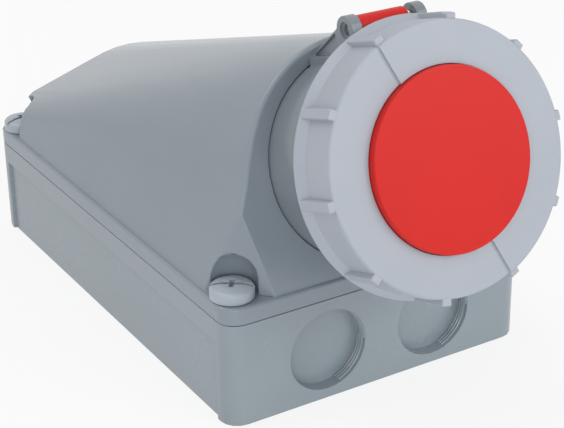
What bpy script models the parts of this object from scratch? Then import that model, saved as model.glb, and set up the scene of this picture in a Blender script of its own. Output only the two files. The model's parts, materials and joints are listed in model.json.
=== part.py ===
"""Industrial wall socket, five poles, with a hinged lid and a bayonet locking ring.

The origin is the centre of the back box's rear face. +Z points away from the wall, the socket looks
out over the -Y end, tilted up by TILT, and X runs across the box.
"""
import math

import bmesh
import bpy
from mathutils import Matrix, Vector

MM = 0.001

# Clearances
TOUCH = 0.3 * MM           # between two pieces that meet
EMBED = 1.0 * MM           # how far joined forms run into each other

# Round interface, from which the socket's other diameters follow
BARREL_RADIUS = 40.3 * MM
COLLAR_RADIUS = BARREL_RADIUS + 8.5 * MM
NECK_RADIUS = COLLAR_RADIUS + 0.8 * MM
ARCH_RADIUS = NECK_RADIUS + 10.9 * MM

# Back box
ARCH_TO_SIDE = 24.0 * MM   # from the hood's arch to the box's side
BOX_WIDTH = 2 * (ARCH_RADIUS + ARCH_TO_SIDE)
BOX_LENGTH = 267.0 * MM
BOX_TOP = 52.85 * MM
CORNER_RADIUS = 9.6 * MM
BOX_WALL = 4.0 * MM
BOX_FLOOR = 4.0 * MM
PANEL_TOP = 41.6 * MM      # the long sides step in below this height
PANEL_STEP = 1.6 * MM
POST_WIDTH = 12.0 * MM     # proud strip left at each end of a long side
SCREW_X = BOX_WIDTH / 2 - 10.5 * MM
SCREW_Y = BOX_LENGTH / 2 - 13.5 * MM
BLOCK = 11.5 * MM          # solid corner block around each cover screw

# Cable entries
ENTRY_RADIUS = 20.9 * MM
ENTRY_X = 30.5 * MM
ENTRY_Z = 26.1 * MM
ENTRY_DEPTH = 7.0 * MM
MEMBRANE = 2.2 * MM
ENTRY_WALL = 3.6 * MM
ENTRY_LENGTH = 12.0 * MM

# Wall fixing holes
FIXING_X = BOX_WIDTH / 2 - 34.5 * MM
FIXING_Y = BOX_LENGTH / 2 - 33.5 * MM
FIXING_RADIUS = 3.5 * MM
FIXING_BOSS = 8.0 * MM
FIXING_BOSS_HEIGHT = 5.0 * MM

# Cover gasket and its groove in the box rim
GROOVE_INSET = 1.9 * MM
GROOVE_WIDTH = 2.1 * MM
GROOVE_DEPTH = 1.9 * MM

# Cover hood
SKIRT_TOP = 61.5 * MM
SKIRT_EDGE = 0.8 * MM
HOOD_WALL = 3.6 * MM
FOOT_INSET = 2.5 * MM      # from the skirt's outside to the foot of the hood's side
HOOD_FRONT = 1.5 * MM      # from the skirt's end to the hood's upright front
CROWN_END = 94.5 * MM      # height of the crown at the far end
GABLE = math.radians(18.3)
CROWN_ROUND = 20.0 * MM    # half width of the rounded crown at the far end
SHOULDER_IN = 18.0 * MM    # where the shoulder's rounding starts, from the foot
SIDE_DRAFT = math.radians(9.0)      # of the sides at the far end
NEAR_DRAFT = math.radians(20.0)     # and at the leaning front
SHOULDER_REACH = 0.25      # share of the draft at which the far shoulder's corner lies
SHOULDER_SHARE = 0.6       # share of the far side's height that the shoulder's rounding takes
ARCH_SHOULDER = math.radians(55)   # where the arch's closer points begin
ARCH_END = math.radians(25)        # where the arch leaves its circle
ARCH_DROP = 3.5 * MM       # from the socket axis down to the arch's centre, along the front
SIDE_RISE = 50.0 * MM      # straight part of the side at the near end
LOFT_PAST = 1.04           # the loft runs this far past the front, which then cuts it
LOFT_SPANS = 5
CROWN_STEPS = 8
SHOULDER_STEPS = 5
SIDE_STEPS = 4

# Corner facets and screw pockets of the hood
FACET_HEIGHT = 52.5 * MM   # at the far end
NEAR_FACET_HEIGHT = 39.5 * MM
FACET_SIDE = 24.0 * MM
FACET_END = 24.5 * MM
POCKET_RADIUS = 12.0 * MM
POCKET_HEIGHT = 20.0 * MM  # to the top of the pocket's domed roof

# Cover screws
HEAD_RADIUS = 10.5 * MM
HEAD_HEIGHT = 6.5 * MM
HEAD_EDGE = 1.2 * MM
SHANK_RADIUS = 2.5 * MM
SHANK_LENGTH = 30.0 * MM
SLOT_WIDTH = 1.7 * MM
SLOT_DEPTH = 1.6 * MM

# The hood's front leans back by the tilt of the socket axis
TILT = math.radians(17.85)

# Neck and flange of the socket housing, depths measured back from the ring's front face
NECK_WALL = 4.0 * MM
SHOULDER_DEPTH = 24.0 * MM
SHOULDER_PLATE = 4.0 * MM
HOOD_FACE_DEPTH = 71.4 * MM
FLANGE_WIDTH = 3.3 * MM
FLANGE_THICKNESS = 3.0 * MM
SEAL_THICKNESS = 1.5 * MM
NECK_REACH = HOOD_FACE_DEPTH + 45.0 * MM   # the neck's forms are drawn this deep, then trimmed
NECK_ABOVE = 5.2 * MM      # along the leaning front, from its foot to the neck's underside
BEND_Z = SKIRT_TOP - EMBED # the front starts to lean back inside the skirt
FACE_REACH = NECK_ABOVE + NECK_RADIUS
FRONT_Y = -BOX_LENGTH / 2 + HOOD_FRONT
AXIS_Y = FRONT_Y + FACE_REACH * math.sin(TILT) - HOOD_FACE_DEPTH * math.cos(TILT)
AXIS_Z = BEND_Z + FACE_REACH * math.cos(TILT) + HOOD_FACE_DEPTH * math.sin(TILT)

# Cutting forms that have to pass everything reach this far
CUT_LOW = 40.0 * MM
CUT_HIGH = AXIS_Z + 2 * NECK_RADIUS
CUT_FAR = 300.0 * MM

# Collar
COLLAR_MOUTH = 8.6 * MM
COLLAR_WALL = 4.0 * MM
LEAD_IN = 20.0 * MM
BARREL_WALL = 3.5 * MM
BARREL_END = 52.0 * MM
KEY_WIDTH = 8.0 * MM
KEY_DEPTH = 2.0 * MM

# Hinge: its pin lies behind the ring, above the neck
HINGE_RISE = NECK_RADIUS + 11.0 * MM   # from the socket axis
HINGE_DEPTH = 36.2 * MM
EAR_RADIUS = 6.5 * MM
EAR_INSIDE = 14.5 * MM
EAR_OUTSIDE = 22.3 * MM
EAR_FOOT_RISE = NECK_RADIUS - 6.0 * MM
EAR_FRONT = 27.0 * MM      # depth of the ear's front edge at its foot, behind the ring
EAR_POCKET = 2.0 * MM
EAR_POCKET_END = 7.0 * MM
PIN_RADIUS = 2.4 * MM
PIN_END = 20.4 * MM
KNUCKLE_RADIUS = 5.6 * MM
KNUCKLE_RIGHT = 11.0 * MM
SPRING_WIRE = 0.35 * MM    # wire radius
SPRING_TURNS = 2

# Lid
DISC_RADIUS = COLLAR_RADIUS - 6.8 * MM
DISC_PROUD = 1.0 * MM
DISC_EDGE = 1.2 * MM
LID_PLATE = 3.2 * MM
LID_FLANGE = COLLAR_RADIUS + 5.0 * MM
LID_FLANGE_THICKNESS = 2.8 * MM
LID_HOLLOW = COLLAR_RADIUS - 13.0 * MM
ARM_INSIDE = COLLAR_RADIUS + 2.2 * MM
ARM_HALF = 12.5 * MM
ARM_END = HINGE_DEPTH + 2.5 * MM
SEAL_WIDTH = 7.0 * MM

# Locking ring
RING_BAND = COLLAR_RADIUS + 8.8 * MM
RING_WALL = 3.3 * MM
RING_FRONT = 3.2 * MM
RING_ROUND = 2.6 * MM
RING_RIM = RING_BAND + 5.8 * MM
RIM_FRONT = 20.5 * MM
RIM_CHAMFER = RING_BAND + 2.4 * MM
RING_DEPTH = 25.5 * MM
RIBS = 10
RIB_START = math.radians(24.2)      # from twelve o'clock to the first rib, anticlockwise
RIB_WIDTH = 4.7 * MM
RIB_TOP = RING_BAND + 4.1 * MM
RIB_ROOT = 1.8 * MM
RIB_SETBACK = 0.6 * MM
RIB_EDGE = 0.9 * MM
RING_TURN = math.radians(40)
LUG_HALF = math.radians(9)
COLLAR_LUG_TOP = COLLAR_RADIUS + 4.1 * MM
COLLAR_LUG = (14.0 * MM, 17.0 * MM)
RING_LUG_TIP = COLLAR_RADIUS + 0.9 * MM
RING_LUG_THICKNESS = 3.6 * MM
SNAP_TIP = COLLAR_RADIUS + 4.1 * MM
SNAP_ANGLES = (60, 180, 300)

# Contact carrier and contacts
CARRIER_RADIUS = BARREL_RADIUS - 8.5 * MM
CARRIER_FACE = 16.5 * MM
CARRIER_FLANGE = 6.0 * MM
CONTACT_CIRCLE = CARRIER_RADIUS - 10.0 * MM
PHASE_PIN = 5.0 * MM
EARTH_PIN = 6.0 * MM
PILOT_PIN = 3.0 * MM
SLEEVE_WALL = 1.3 * MM
SLEEVE_FACE = 19.0 * MM
SLEEVE_BORE_END = BARREL_END + 2.0 * MM
SLEEVE_END = SLEEVE_BORE_END + 21.0 * MM
WIRE_BORE = 4.6 * MM
WIRE_DEPTH = 16.0 * MM
CLAMP_DEPTH = SLEEVE_END - 7.0 * MM
CLAMP_RADIUS = 2.0 * MM
CLAMP_HEAD = 3.2 * MM
CLAMP_HEAD_HEIGHT = 2.0 * MM
CLAMP_TIP = 2.0 * MM
PILOT_END = BARREL_END + 14.0 * MM

# Screws that hold the socket housing to the hood
LUG_X = NECK_RADIUS + 7.0 * MM
LUG_RISE = -12.0 * MM      # from the socket axis
LUG_RADIUS = 4.2 * MM
FIX_SHANK = 1.6 * MM
FIX_HEAD = 3.4 * MM
FIX_HEAD_HEIGHT = 2.6 * MM
FIX_SKIN = 1.0 * MM        # what is left of the hood in front of each screw's tip

SEGMENTS = 52
FACET_TOOL = 80.0 * MM


def clear_scene():
    for item in list(bpy.data.objects):
        bpy.data.objects.remove(item, do_unlink=True)


def make_collection(name):
    collection = bpy.data.collections.new(name)
    bpy.context.scene.collection.children.link(collection)
    return collection


clear_scene()
PARTS = make_collection("industrial_socket")
CUTTERS = make_collection("cutters")


def material(name, color, roughness, metallic=0.0):
    made = bpy.data.materials.new(name)
    made.use_nodes = True
    shader = made.node_tree.nodes["Principled BSDF"]
    shader.inputs["Base Color"].default_value = (*color, 1.0)
    shader.inputs["Roughness"].default_value = roughness
    shader.inputs["Metallic"].default_value = metallic
    return made


MATERIALS = {
    "box_grey": material("box_grey", (0.27, 0.31, 0.34), 0.4),
    "hood_grey": material("hood_grey", (0.26, 0.31, 0.35), 0.25),
    "housing_grey": material("housing_grey", (0.19, 0.22, 0.24), 0.3),
    "ring_grey": material("ring_grey", (0.46, 0.50, 0.55), 0.45),
    "lid_red": material("lid_red", (0.70, 0.055, 0.045), 0.4),
    "screw_grey": material("screw_grey", (0.38, 0.43, 0.48), 0.25),
    "insert_black": material("insert_black", (0.03, 0.03, 0.032), 0.5),
    "seal_rubber": material("seal_rubber", (0.02, 0.02, 0.02), 0.8),
    "brass": material("brass", (0.72, 0.53, 0.25), 0.3, 1.0),
    "steel": material("steel", (0.6, 0.6, 0.6), 0.35, 1.0),
}


def link(mesh, name, collection=None):
    made = bpy.data.objects.new(name, mesh)
    (collection or CUTTERS).objects.link(made)
    if collection is None:
        made.hide_render = True
        made.display_type = "WIRE"
    return made


def from_bmesh(bm, name):
    bmesh.ops.recalc_face_normals(bm, faces=bm.faces)
    mesh = bpy.data.meshes.new(name)
    bm.to_mesh(mesh)
    bm.free()
    return link(mesh, name)


def block(name, low, high, corner=0.0, top_edge=0.0):
    """A box between two corners, its upright edges rounded and its top rim chamfered on request."""
    bm = bmesh.new()
    bmesh.ops.create_cube(bm, size=1.0)
    low, high = Vector(low), Vector(high)
    bmesh.ops.scale(bm, vec=high - low, verts=bm.verts)
    bmesh.ops.translate(bm, vec=(low + high) / 2, verts=bm.verts)
    if corner:
        upright = [e for e in bm.edges if abs(e.verts[0].co.z - e.verts[1].co.z) > MM * 0.01]
        bmesh.ops.bevel(bm, geom=upright, offset=corner, segments=4, affect="EDGES", profile=0.5)
    if top_edge:
        rim = [e for e in bm.edges if all(abs(v.co.z - high.z) < MM * 0.01 for v in e.verts)]
        bmesh.ops.bevel(bm, geom=rim, offset=top_edge, segments=1, affect="EDGES")
    return from_bmesh(bm, name)


def rod(name, radius, start, end, segments=SEGMENTS):
    """A cylinder between two points."""
    start, end = Vector(start), Vector(end)
    along = end - start
    bm = bmesh.new()
    bmesh.ops.create_cone(bm, cap_ends=True, segments=segments, radius1=radius, radius2=radius,
                          depth=along.length)
    turn = Vector((0, 0, 1)).rotation_difference(along.normalized()).to_matrix().to_4x4()
    bmesh.ops.transform(bm, matrix=Matrix.Translation((start + end) / 2) @ turn, verts=bm.verts)
    return from_bmesh(bm, name)


def prism(name, outline, low, high, frame=None):
    """A flat outline of (a, b) points carried along X from low to high; a and b are Y and Z."""
    bm = bmesh.new()
    near = [bm.verts.new((low, a, b)) for a, b in outline]
    base = bm.faces.new(near)
    grown = bmesh.ops.extrude_face_region(bm, geom=[base])
    moved = [v for v in grown["geom"] if isinstance(v, bmesh.types.BMVert)]
    bmesh.ops.translate(bm, vec=(high - low, 0, 0), verts=moved)
    if frame is not None:
        bmesh.ops.transform(bm, matrix=frame, verts=bm.verts)
    return from_bmesh(bm, name)


def baked(item):
    """Replace an object's mesh by its evaluated one and drop the modifiers."""
    bpy.context.view_layer.update()
    depsgraph = bpy.context.evaluated_depsgraph_get()
    mesh = bpy.data.meshes.new_from_object(item.evaluated_get(depsgraph))
    item.modifiers.clear()
    item.data = mesh
    return item


def turned(name, profile, frame=None, segments=SEGMENTS, closed=True):
    """A profile of (radius, height) points, outer side running down, turned about Z."""
    mesh = bpy.data.meshes.new(name)
    count = len(profile)
    edges = [(i, i + 1) for i in range(count - 1)]
    if closed:
        edges.append((count - 1, 0))
    mesh.from_pydata([(r, 0.0, z) for r, z in profile], edges, [])
    item = link(mesh, name)
    screw = item.modifiers.new("turn", "SCREW")
    screw.steps = segments
    screw.render_steps = segments
    screw.use_merge_vertices = True
    screw.merge_threshold = 0.00001
    baked(item)
    if frame is not None:
        item.data.transform(frame)
    return item


def combine(target, other, operation):
    """Apply one Boolean and remove the other object."""
    step = target.modifiers.new("join", "BOOLEAN")
    step.operation = operation
    step.object = other
    baked(target)
    bpy.data.objects.remove(other, do_unlink=True)
    return target


def add(target, *others):
    for other in others:
        combine(target, other, "UNION")
    return target


def cut(target, *others):
    for other in others:
        combine(target, other, "DIFFERENCE")
    return target


def keep(target, *others):
    for other in others:
        combine(target, other, "INTERSECT")
    return target


def finish(item, name, finish_name, smooth_angle=30.0):
    """Move a finished solid to the parts, name it and give it its material."""
    bm = bmesh.new()
    bm.from_mesh(item.data)
    bmesh.ops.remove_doubles(bm, verts=bm.verts, dist=0.000002)
    bmesh.ops.dissolve_degenerate(bm, edges=bm.edges, dist=0.000002)
    bm.to_mesh(item.data)
    bm.free()
    CUTTERS.objects.unlink(item)
    PARTS.objects.link(item)
    item.hide_render = False
    item.display_type = "TEXTURED"
    item.name = name
    item.data.name = name
    item.data.materials.clear()
    item.data.materials.append(MATERIALS[finish_name])
    item.data.shade_smooth()
    item.data.set_sharp_from_angle(angle=math.radians(smooth_angle))
    return item


def corners():
    """The four cover screw places, with names."""
    for y_side, y_name in ((-1, "front"), (1, "rear")):
        for x_side, x_name in ((-1, "left"), (1, "right")):
            yield f"{y_name}_{x_name}", x_side, y_side


HALF_WIDTH = BOX_WIDTH / 2
HALF_LENGTH = BOX_LENGTH / 2


def make_base_box():
    box = block("box", (-HALF_WIDTH, -HALF_LENGTH, 0), (HALF_WIDTH, HALF_LENGTH, BOX_TOP), CORNER_RADIUS)
    for side in (-1, 1):
        x_in = side * (HALF_WIDTH - PANEL_STEP)
        x_out = side * (HALF_WIDTH + EMBED)
        cut(box, block("panel", (min(x_in, x_out), -HALF_LENGTH + POST_WIDTH, -EMBED),
                       (max(x_in, x_out), HALF_LENGTH - POST_WIDTH, PANEL_TOP)))
    inner_x = HALF_WIDTH - PANEL_STEP - BOX_WALL
    inner_y = HALF_LENGTH - BOX_WALL - PANEL_STEP
    cavity = block("cavity", (-inner_x, -(SCREW_Y - BLOCK), BOX_FLOOR),
                   (inner_x, SCREW_Y - BLOCK, BOX_TOP + EMBED))
    add(cavity, block("cavity_ends", (-(SCREW_X - BLOCK), -inner_y, BOX_FLOOR),
                      (SCREW_X - BLOCK, inner_y, BOX_TOP + EMBED)))
    for side in (-1, 1):
        cut(cavity, rod("entry_boss", ENTRY_RADIUS + ENTRY_WALL, (side * ENTRY_X, -HALF_LENGTH, ENTRY_Z),
                        (side * ENTRY_X, -HALF_LENGTH + ENTRY_LENGTH, ENTRY_Z), 24))
        for end in (-1, 1):
            cut(cavity, rod("fixing_boss", FIXING_BOSS, (side * FIXING_X, end * FIXING_Y, 0),
                            (side * FIXING_X, end * FIXING_Y, BOX_FLOOR + FIXING_BOSS_HEIGHT), 14))
    cut(box, cavity)
    for side in (-1, 1):
        membrane_y = -HALF_LENGTH + ENTRY_DEPTH
        cut(box, rod("entry", ENTRY_RADIUS, (side * ENTRY_X, -HALF_LENGTH - EMBED, ENTRY_Z),
                     (side * ENTRY_X, membrane_y, ENTRY_Z), 36))
        cut(box, rod("entry_back", ENTRY_RADIUS - ENTRY_WALL / 2,
                     (side * ENTRY_X, membrane_y + MEMBRANE, ENTRY_Z),
                     (side * ENTRY_X, -HALF_LENGTH + ENTRY_LENGTH + EMBED, ENTRY_Z), 24))
        for end in (-1, 1):
            cut(box, rod("fixing", FIXING_RADIUS, (side * FIXING_X, end * FIXING_Y, -EMBED),
                         (side * FIXING_X, end * FIXING_Y, BOX_FLOOR + FIXING_BOSS_HEIGHT + EMBED), 12))
    for _, x_side, y_side in corners():
        cut(box, rod("pilot", SHANK_RADIUS + TOUCH, (x_side * SCREW_X, y_side * SCREW_Y,
                                                   SKIRT_TOP - SHANK_LENGTH - TOUCH),
                     (x_side * SCREW_X, y_side * SCREW_Y, BOX_TOP + EMBED), 12))
    groove = rim_ring("groove", GROOVE_INSET, GROOVE_WIDTH, BOX_TOP - GROOVE_DEPTH, BOX_TOP + EMBED)
    cut(box, groove)
    return finish(box, "base_box", "box_grey")


def rim_ring(name, inset, width, low, high):
    """A band that follows the box's outline, inset from the outside."""
    outer_x, outer_y = HALF_WIDTH - inset, HALF_LENGTH - inset
    ring = block(name, (-outer_x, -outer_y, low), (outer_x, outer_y, high), CORNER_RADIUS - inset)
    inner_x, inner_y = outer_x - width, outer_y - width
    hole = block("hole", (-inner_x, -inner_y, low - EMBED), (inner_x, inner_y, high + EMBED),
                 CORNER_RADIUS - inset - width)
    return cut(ring, hole)


def make_cover_gasket():
    seal = rim_ring("seal", GROOVE_INSET + TOUCH, GROOVE_WIDTH - 2 * TOUCH,
                    BOX_TOP - GROOVE_DEPTH + TOUCH, BOX_TOP)
    return finish(seal, "cover_gasket", "seal_rubber")


# The hood's skirt stands this far above the box rim, which closes on the gasket
SKIRT_BOTTOM = BOX_TOP + TOUCH
FOOT_X = HALF_WIDTH - FOOT_INSET
# Depths of the socket housing's flange behind the hood's front surface
FLANGE_NEAR = HOOD_WALL + SEAL_THICKNESS + 3 * TOUCH
FLANGE_DEEP = FLANGE_NEAR + FLANGE_THICKNESS
AXIS_ORIGIN = Vector((0, AXIS_Y, AXIS_Z))
FORWARD = Vector((0, -math.cos(TILT), math.sin(TILT)))
UPWARD = Vector((0, math.sin(TILT), math.cos(TILT)))
# Local +Z looks out of the socket, local +Y points up across it
SOCKET = Matrix.Translation(AXIS_ORIGIN) @ Matrix.Rotation(math.pi / 2 - TILT, 4, "X")
FACE_CENTRE = AXIS_ORIGIN - FORWARD * HOOD_FACE_DEPTH


def front_y(z):
    """The hood's front surface: upright below the bend, leaning back by TILT above it."""
    return FRONT_Y + max(0.0, z - BEND_Z) * math.tan(TILT)


def front_line(offset):
    """Three (y, z) points of the front surface, moved into the hood by offset."""
    top = CUT_HIGH
    bend = BEND_Z - offset * (1 / math.cos(TILT) - 1) / math.tan(TILT)
    lean = FRONT_Y + (top - BEND_Z) * math.tan(TILT) + offset / math.cos(TILT)
    return [(FRONT_Y + offset, CUT_LOW), (FRONT_Y + offset, bend), (lean, top)]


def in_front_of(offset, half_width=HALF_WIDTH + 10 * EMBED):
    """Everything in front of the hood's front surface moved in by offset."""
    line = front_line(offset)
    return prism("front", line + [(-CUT_FAR, line[2][1]), (-CUT_FAR, line[0][1])], -half_width, half_width)


def front_slab(near, deep, half_width):
    """A bent plate that lies between two depths behind the hood's front surface."""
    return prism("slab", front_line(near) + front_line(deep)[::-1], -half_width, half_width)


def far_outline(inset):
    """Right half of the far end's section as (x, z), from the crown to the foot."""
    slope = math.tan(GABLE)
    points = []
    for i in range(CROWN_STEPS + 1):
        x = (FOOT_X - SHOULDER_IN) * i / CROWN_STEPS
        ridge = CROWN_ROUND if x > CROWN_ROUND else x
        drop = slope * (ridge * ridge / (2 * CROWN_ROUND) + max(0.0, x - CROWN_ROUND))
        points.append((x, CROWN_END - drop))
    start = Vector(points[-1])
    foot_run = (SKIRT_TOP - start.y)
    edge_x = FOOT_X + foot_run * math.tan(SIDE_DRAFT) * SHOULDER_REACH
    edge = Vector((edge_x, start.y - slope * (edge_x - start.x)))
    end = edge + (Vector((FOOT_X, SKIRT_TOP)) - edge) * SHOULDER_SHARE
    points += bend_points(start, edge, end, SHOULDER_STEPS)
    points += straight_points(end, Vector((FOOT_X, SKIRT_TOP)), SIDE_STEPS)
    return inset_line(points, inset)


def near_outline(inset):
    """Right half of the near end's section as (x, z): the arch round the socket, then the side."""
    points = []
    for i in range(CROWN_STEPS + 1):
        angle = math.pi / 2 + (ARCH_SHOULDER - math.pi / 2) * i / CROWN_STEPS
        points.append(arch_point(angle))
    for i in range(1, SHOULDER_STEPS + 1):
        points.append(arch_point(ARCH_SHOULDER + (ARCH_END - ARCH_SHOULDER) * i / SHOULDER_STEPS))
    start = Vector(points[-1])
    foot = Vector((FOOT_X, SKIRT_TOP))
    end = foot + Vector((-math.tan(NEAR_DRAFT), 1.0)) * SIDE_RISE
    tangent = Vector((math.sin(ARCH_END), -math.cos(ARCH_END) * math.cos(TILT)))
    side = end - foot
    reach = (start - foot).cross(side) / side.cross(tangent)
    points += bend_points(start, start + tangent * reach, end, SIDE_STEPS - 1)
    points.append(tuple(foot))
    return inset_line(points, inset)


def arch_point(angle):
    rise = ARCH_RADIUS * math.sin(angle) - ARCH_DROP
    return (ARCH_RADIUS * math.cos(angle), FACE_CENTRE.z + rise * math.cos(TILT))


def bend_points(start, corner, end, steps):
    """Points of a smooth bend from start to end that turns at corner, without the start."""
    made = []
    for i in range(1, steps + 1):
        t = i / steps
        made.append(tuple(start * (1 - t) ** 2 + corner * 2 * t * (1 - t) + end * t ** 2))
    return made


def straight_points(start, end, steps):
    return [tuple(start.lerp(end, i / steps)) for i in range(1, steps + 1)]


def inset_line(points, distance):
    """Move a line of (x, z) points inwards, square to itself."""
    if not distance:
        return points
    line = [Vector(p) for p in points]
    moved = []
    for i, point in enumerate(line):
        before = line[i - 1] if i else Vector((-line[1].x, line[1].y))
        after = line[i + 1] if i + 1 < len(line) else point * 2 - line[i - 1]
        along = (after - before).normalized()
        moved.append(tuple(point + Vector((along.y, -along.x)) * distance))
    return moved


def hood_section(t, inset, bottom):
    """One closed section of the hood's loft: t is 0 at the far end and 1 at the front face."""
    half = []
    for (far_x, far_z), (near_x, near_z) in zip(far_outline(inset), near_outline(inset)):
        near_place = front_y(near_z)
        half.append(Vector((far_x + (near_x - far_x) * t,
                            HALF_LENGTH - HOOD_FRONT + (near_place - HALF_LENGTH + HOOD_FRONT) * t,
                            far_z + (near_z - far_z) * t)))
    foot = half[-1]
    half.append(Vector((foot.x, foot.y, bottom)))
    left = [Vector((-p.x, p.y, p.z)) for p in half[1:]]
    return half + left[::-1]


def hood_loft(name, inset, bottom, start):
    """The hood's outer or inner form, ruled from the far end to a little past the front face."""
    bm = bmesh.new()
    rows = []
    for i in range(LOFT_SPANS + 1):
        t = start + (LOFT_PAST - start) * i / LOFT_SPANS
        rows.append([bm.verts.new(p) for p in hood_section(t, inset, bottom)])
    for low, high in zip(rows, rows[1:]):
        for i in range(len(low)):
            j = (i + 1) % len(low)
            bm.faces.new((low[i], low[j], high[j], high[i]))
    for row in (rows[0], rows[-1]):
        middle = bm.verts.new(sum((v.co for v in row), Vector()) / len(row))
        for i in range(len(row)):
            bm.faces.new((row[i], row[(i + 1) % len(row)], middle))
    return from_bmesh(bm, name)


def facet_box(x_side, y_side, inward):
    """The part outside one sloping corner facet, moved into the hood by inward."""
    front = HALF_LENGTH - HOOD_FRONT
    if y_side < 0:
        apex_z = SKIRT_TOP + NEAR_FACET_HEIGHT
        apex = Vector((x_side * (FOOT_X - math.tan(NEAR_DRAFT) * NEAR_FACET_HEIGHT), front_y(apex_z), apex_z))
    else:
        apex_x = FOOT_X - math.tan(SIDE_DRAFT) * FACET_HEIGHT
        apex = Vector((x_side * apex_x, front, SKIRT_TOP + FACET_HEIGHT))
    side = Vector((x_side * FOOT_X, y_side * (front - FACET_SIDE), SKIRT_TOP))
    end = Vector((x_side * (FOOT_X - FACET_END), y_side * front, SKIRT_TOP))
    normal = (side - apex).cross(end - apex).normalized()
    if normal.x * x_side < 0:
        normal = -normal
    size = FACET_TOOL
    turn = Vector((0, 0, 1)).rotation_difference(normal).to_matrix().to_4x4()
    middle = (side + end) / 2 - normal * inward + normal * size / 2
    bm = bmesh.new()
    bmesh.ops.create_cube(bm, size=size)
    bmesh.ops.scale(bm, vec=(2, 2, 1), verts=bm.verts)
    bmesh.ops.transform(bm, matrix=Matrix.Translation(middle) @ turn, verts=bm.verts)
    return from_bmesh(bm, "facet")


def neck_rod(radius, start, end):
    """A cylinder about the socket axis between two depths."""
    return rod("neck", radius, in_socket(0, 0, start), in_socket(0, 0, end))


def pocket(place):
    """The room round a cover screw: a cylinder with a domed roof."""
    dome_z = SKIRT_TOP + POCKET_HEIGHT - POCKET_RADIUS
    bm = bmesh.new()
    bmesh.ops.create_uvsphere(bm, u_segments=20, v_segments=8, radius=POCKET_RADIUS)
    bmesh.ops.translate(bm, vec=(*place, dome_z), verts=bm.verts)
    shaft = rod("pocket", POCKET_RADIUS, (*place, SKIRT_TOP), (*place, dome_z), 20)
    return add(from_bmesh(bm, "dome"), shaft)


def make_cover_hood():
    hood = hood_loft("hood", 0.0, SKIRT_TOP - 4 * MM, 0.0)
    cut(hood, in_front_of(0.0))
    for _, x_side, y_side in corners():
        cut(hood, facet_box(x_side, y_side, 0.0))
    skirt = block("skirt", (-HALF_WIDTH, -HALF_LENGTH, SKIRT_BOTTOM), (HALF_WIDTH, HALF_LENGTH, SKIRT_TOP),
                  CORNER_RADIUS, SKIRT_EDGE)
    add(hood, skirt)
    inner = hood_loft("inner", HOOD_WALL, SKIRT_BOTTOM - EMBED, HOOD_WALL / BOX_LENGTH)
    cut(inner, in_front_of(HOOD_WALL))
    for _, x_side, y_side in corners():
        cut(inner, facet_box(x_side, y_side, HOOD_WALL))
        cut(inner, rod("pocket_wall", POCKET_RADIUS + HOOD_WALL,
                       (x_side * SCREW_X, y_side * SCREW_Y, SKIRT_BOTTOM - 2 * EMBED),
                       (x_side * SCREW_X, y_side * SCREW_Y, SKIRT_TOP + POCKET_HEIGHT + HOOD_WALL), 20))
    for side in (-1, 1):
        cut(inner, rod("screw_pad", LUG_RADIUS, in_socket(side * LUG_X, LUG_RISE, HOOD_FACE_DEPTH),
                       in_socket(side * LUG_X, LUG_RISE, HOOD_FACE_DEPTH + FLANGE_NEAR - TOUCH), 20))
    cut(hood, inner)
    for side in (-1, 1):
        cut(hood, rod("pad_hole", FIX_SHANK + TOUCH,
                      in_socket(side * LUG_X, LUG_RISE, HOOD_FACE_DEPTH + FIX_SKIN),
                      in_socket(side * LUG_X, LUG_RISE, HOOD_FACE_DEPTH + FLANGE_NEAR + EMBED), 12))
    for _, x_side, y_side in corners():
        place = (x_side * SCREW_X, y_side * SCREW_Y)
        cut(hood, pocket(place))
        cut(hood, rod("screw_hole", SHANK_RADIUS + TOUCH, (*place, SKIRT_BOTTOM - EMBED),
                      (*place, SKIRT_TOP + EMBED), 12))
    cut(hood, neck_rod(NECK_RADIUS + TOUCH, SHOULDER_DEPTH, NECK_REACH - 10 * EMBED))
    return finish(hood, "cover_hood", "hood_grey")


def make_cover_screw(name, x_side, y_side):
    x, y = x_side * SCREW_X, y_side * SCREW_Y
    seat = SKIRT_TOP + TOUCH
    tip = SKIRT_TOP - SHANK_LENGTH
    top = seat + HEAD_HEIGHT
    profile = [(0, top), (HEAD_RADIUS - HEAD_EDGE, top), (HEAD_RADIUS, top - HEAD_EDGE), (HEAD_RADIUS, seat),
               (SHANK_RADIUS, seat), (SHANK_RADIUS, tip), (0, tip)]
    screw = turned(name, profile, Matrix.Translation((x, y, 0)), 24, closed=False)
    reach = HEAD_RADIUS + EMBED
    cut(screw, block("slot", (x - reach, y - SLOT_WIDTH / 2, top - SLOT_DEPTH),
                     (x + reach, y + SLOT_WIDTH / 2, top + EMBED)))
    cut(screw, block("cross", (x - SLOT_WIDTH / 2, y - 2 * SLOT_WIDTH, top - 2 * SLOT_DEPTH),
                     (x + SLOT_WIDTH / 2, y + 2 * SLOT_WIDTH, top + EMBED)))
    return finish(screw, name, "screw_grey")


def in_socket(x, rise, depth):
    """A point given across, up and back from the ring's front centre."""
    return SOCKET @ Vector((x, rise, -depth))


def socket_block(name, low, high):
    """A box in the socket's frame; corners are (x, rise, depth)."""
    made = block(name, (low[0], low[1], -high[2]), (high[0], high[1], -low[2]))
    made.data.transform(SOCKET)
    return made


def lug(name, inner, outer, near, deep, angle, half=None):
    """A short arc between two radii and two depths, centred on an angle in degrees."""
    half = LUG_HALF if half is None else half
    start = math.radians(angle) - half
    bm = bmesh.new()
    rows = []
    for i in range(5):
        turn = start + half * 2 * i / 4
        ring = [(inner, -near), (outer, -near), (outer, -deep), (inner, -deep)]
        rows.append([bm.verts.new((r * math.cos(turn), r * math.sin(turn), z)) for r, z in ring])
    for low, high in zip(rows, rows[1:]):
        for i in range(4):
            j = (i + 1) % 4
            bm.faces.new((low[i], low[j], high[j], high[i]))
    bm.faces.new(rows[0])
    bm.faces.new(rows[-1])
    bmesh.ops.transform(bm, matrix=SOCKET, verts=bm.verts)
    return from_bmesh(bm, name)


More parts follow.
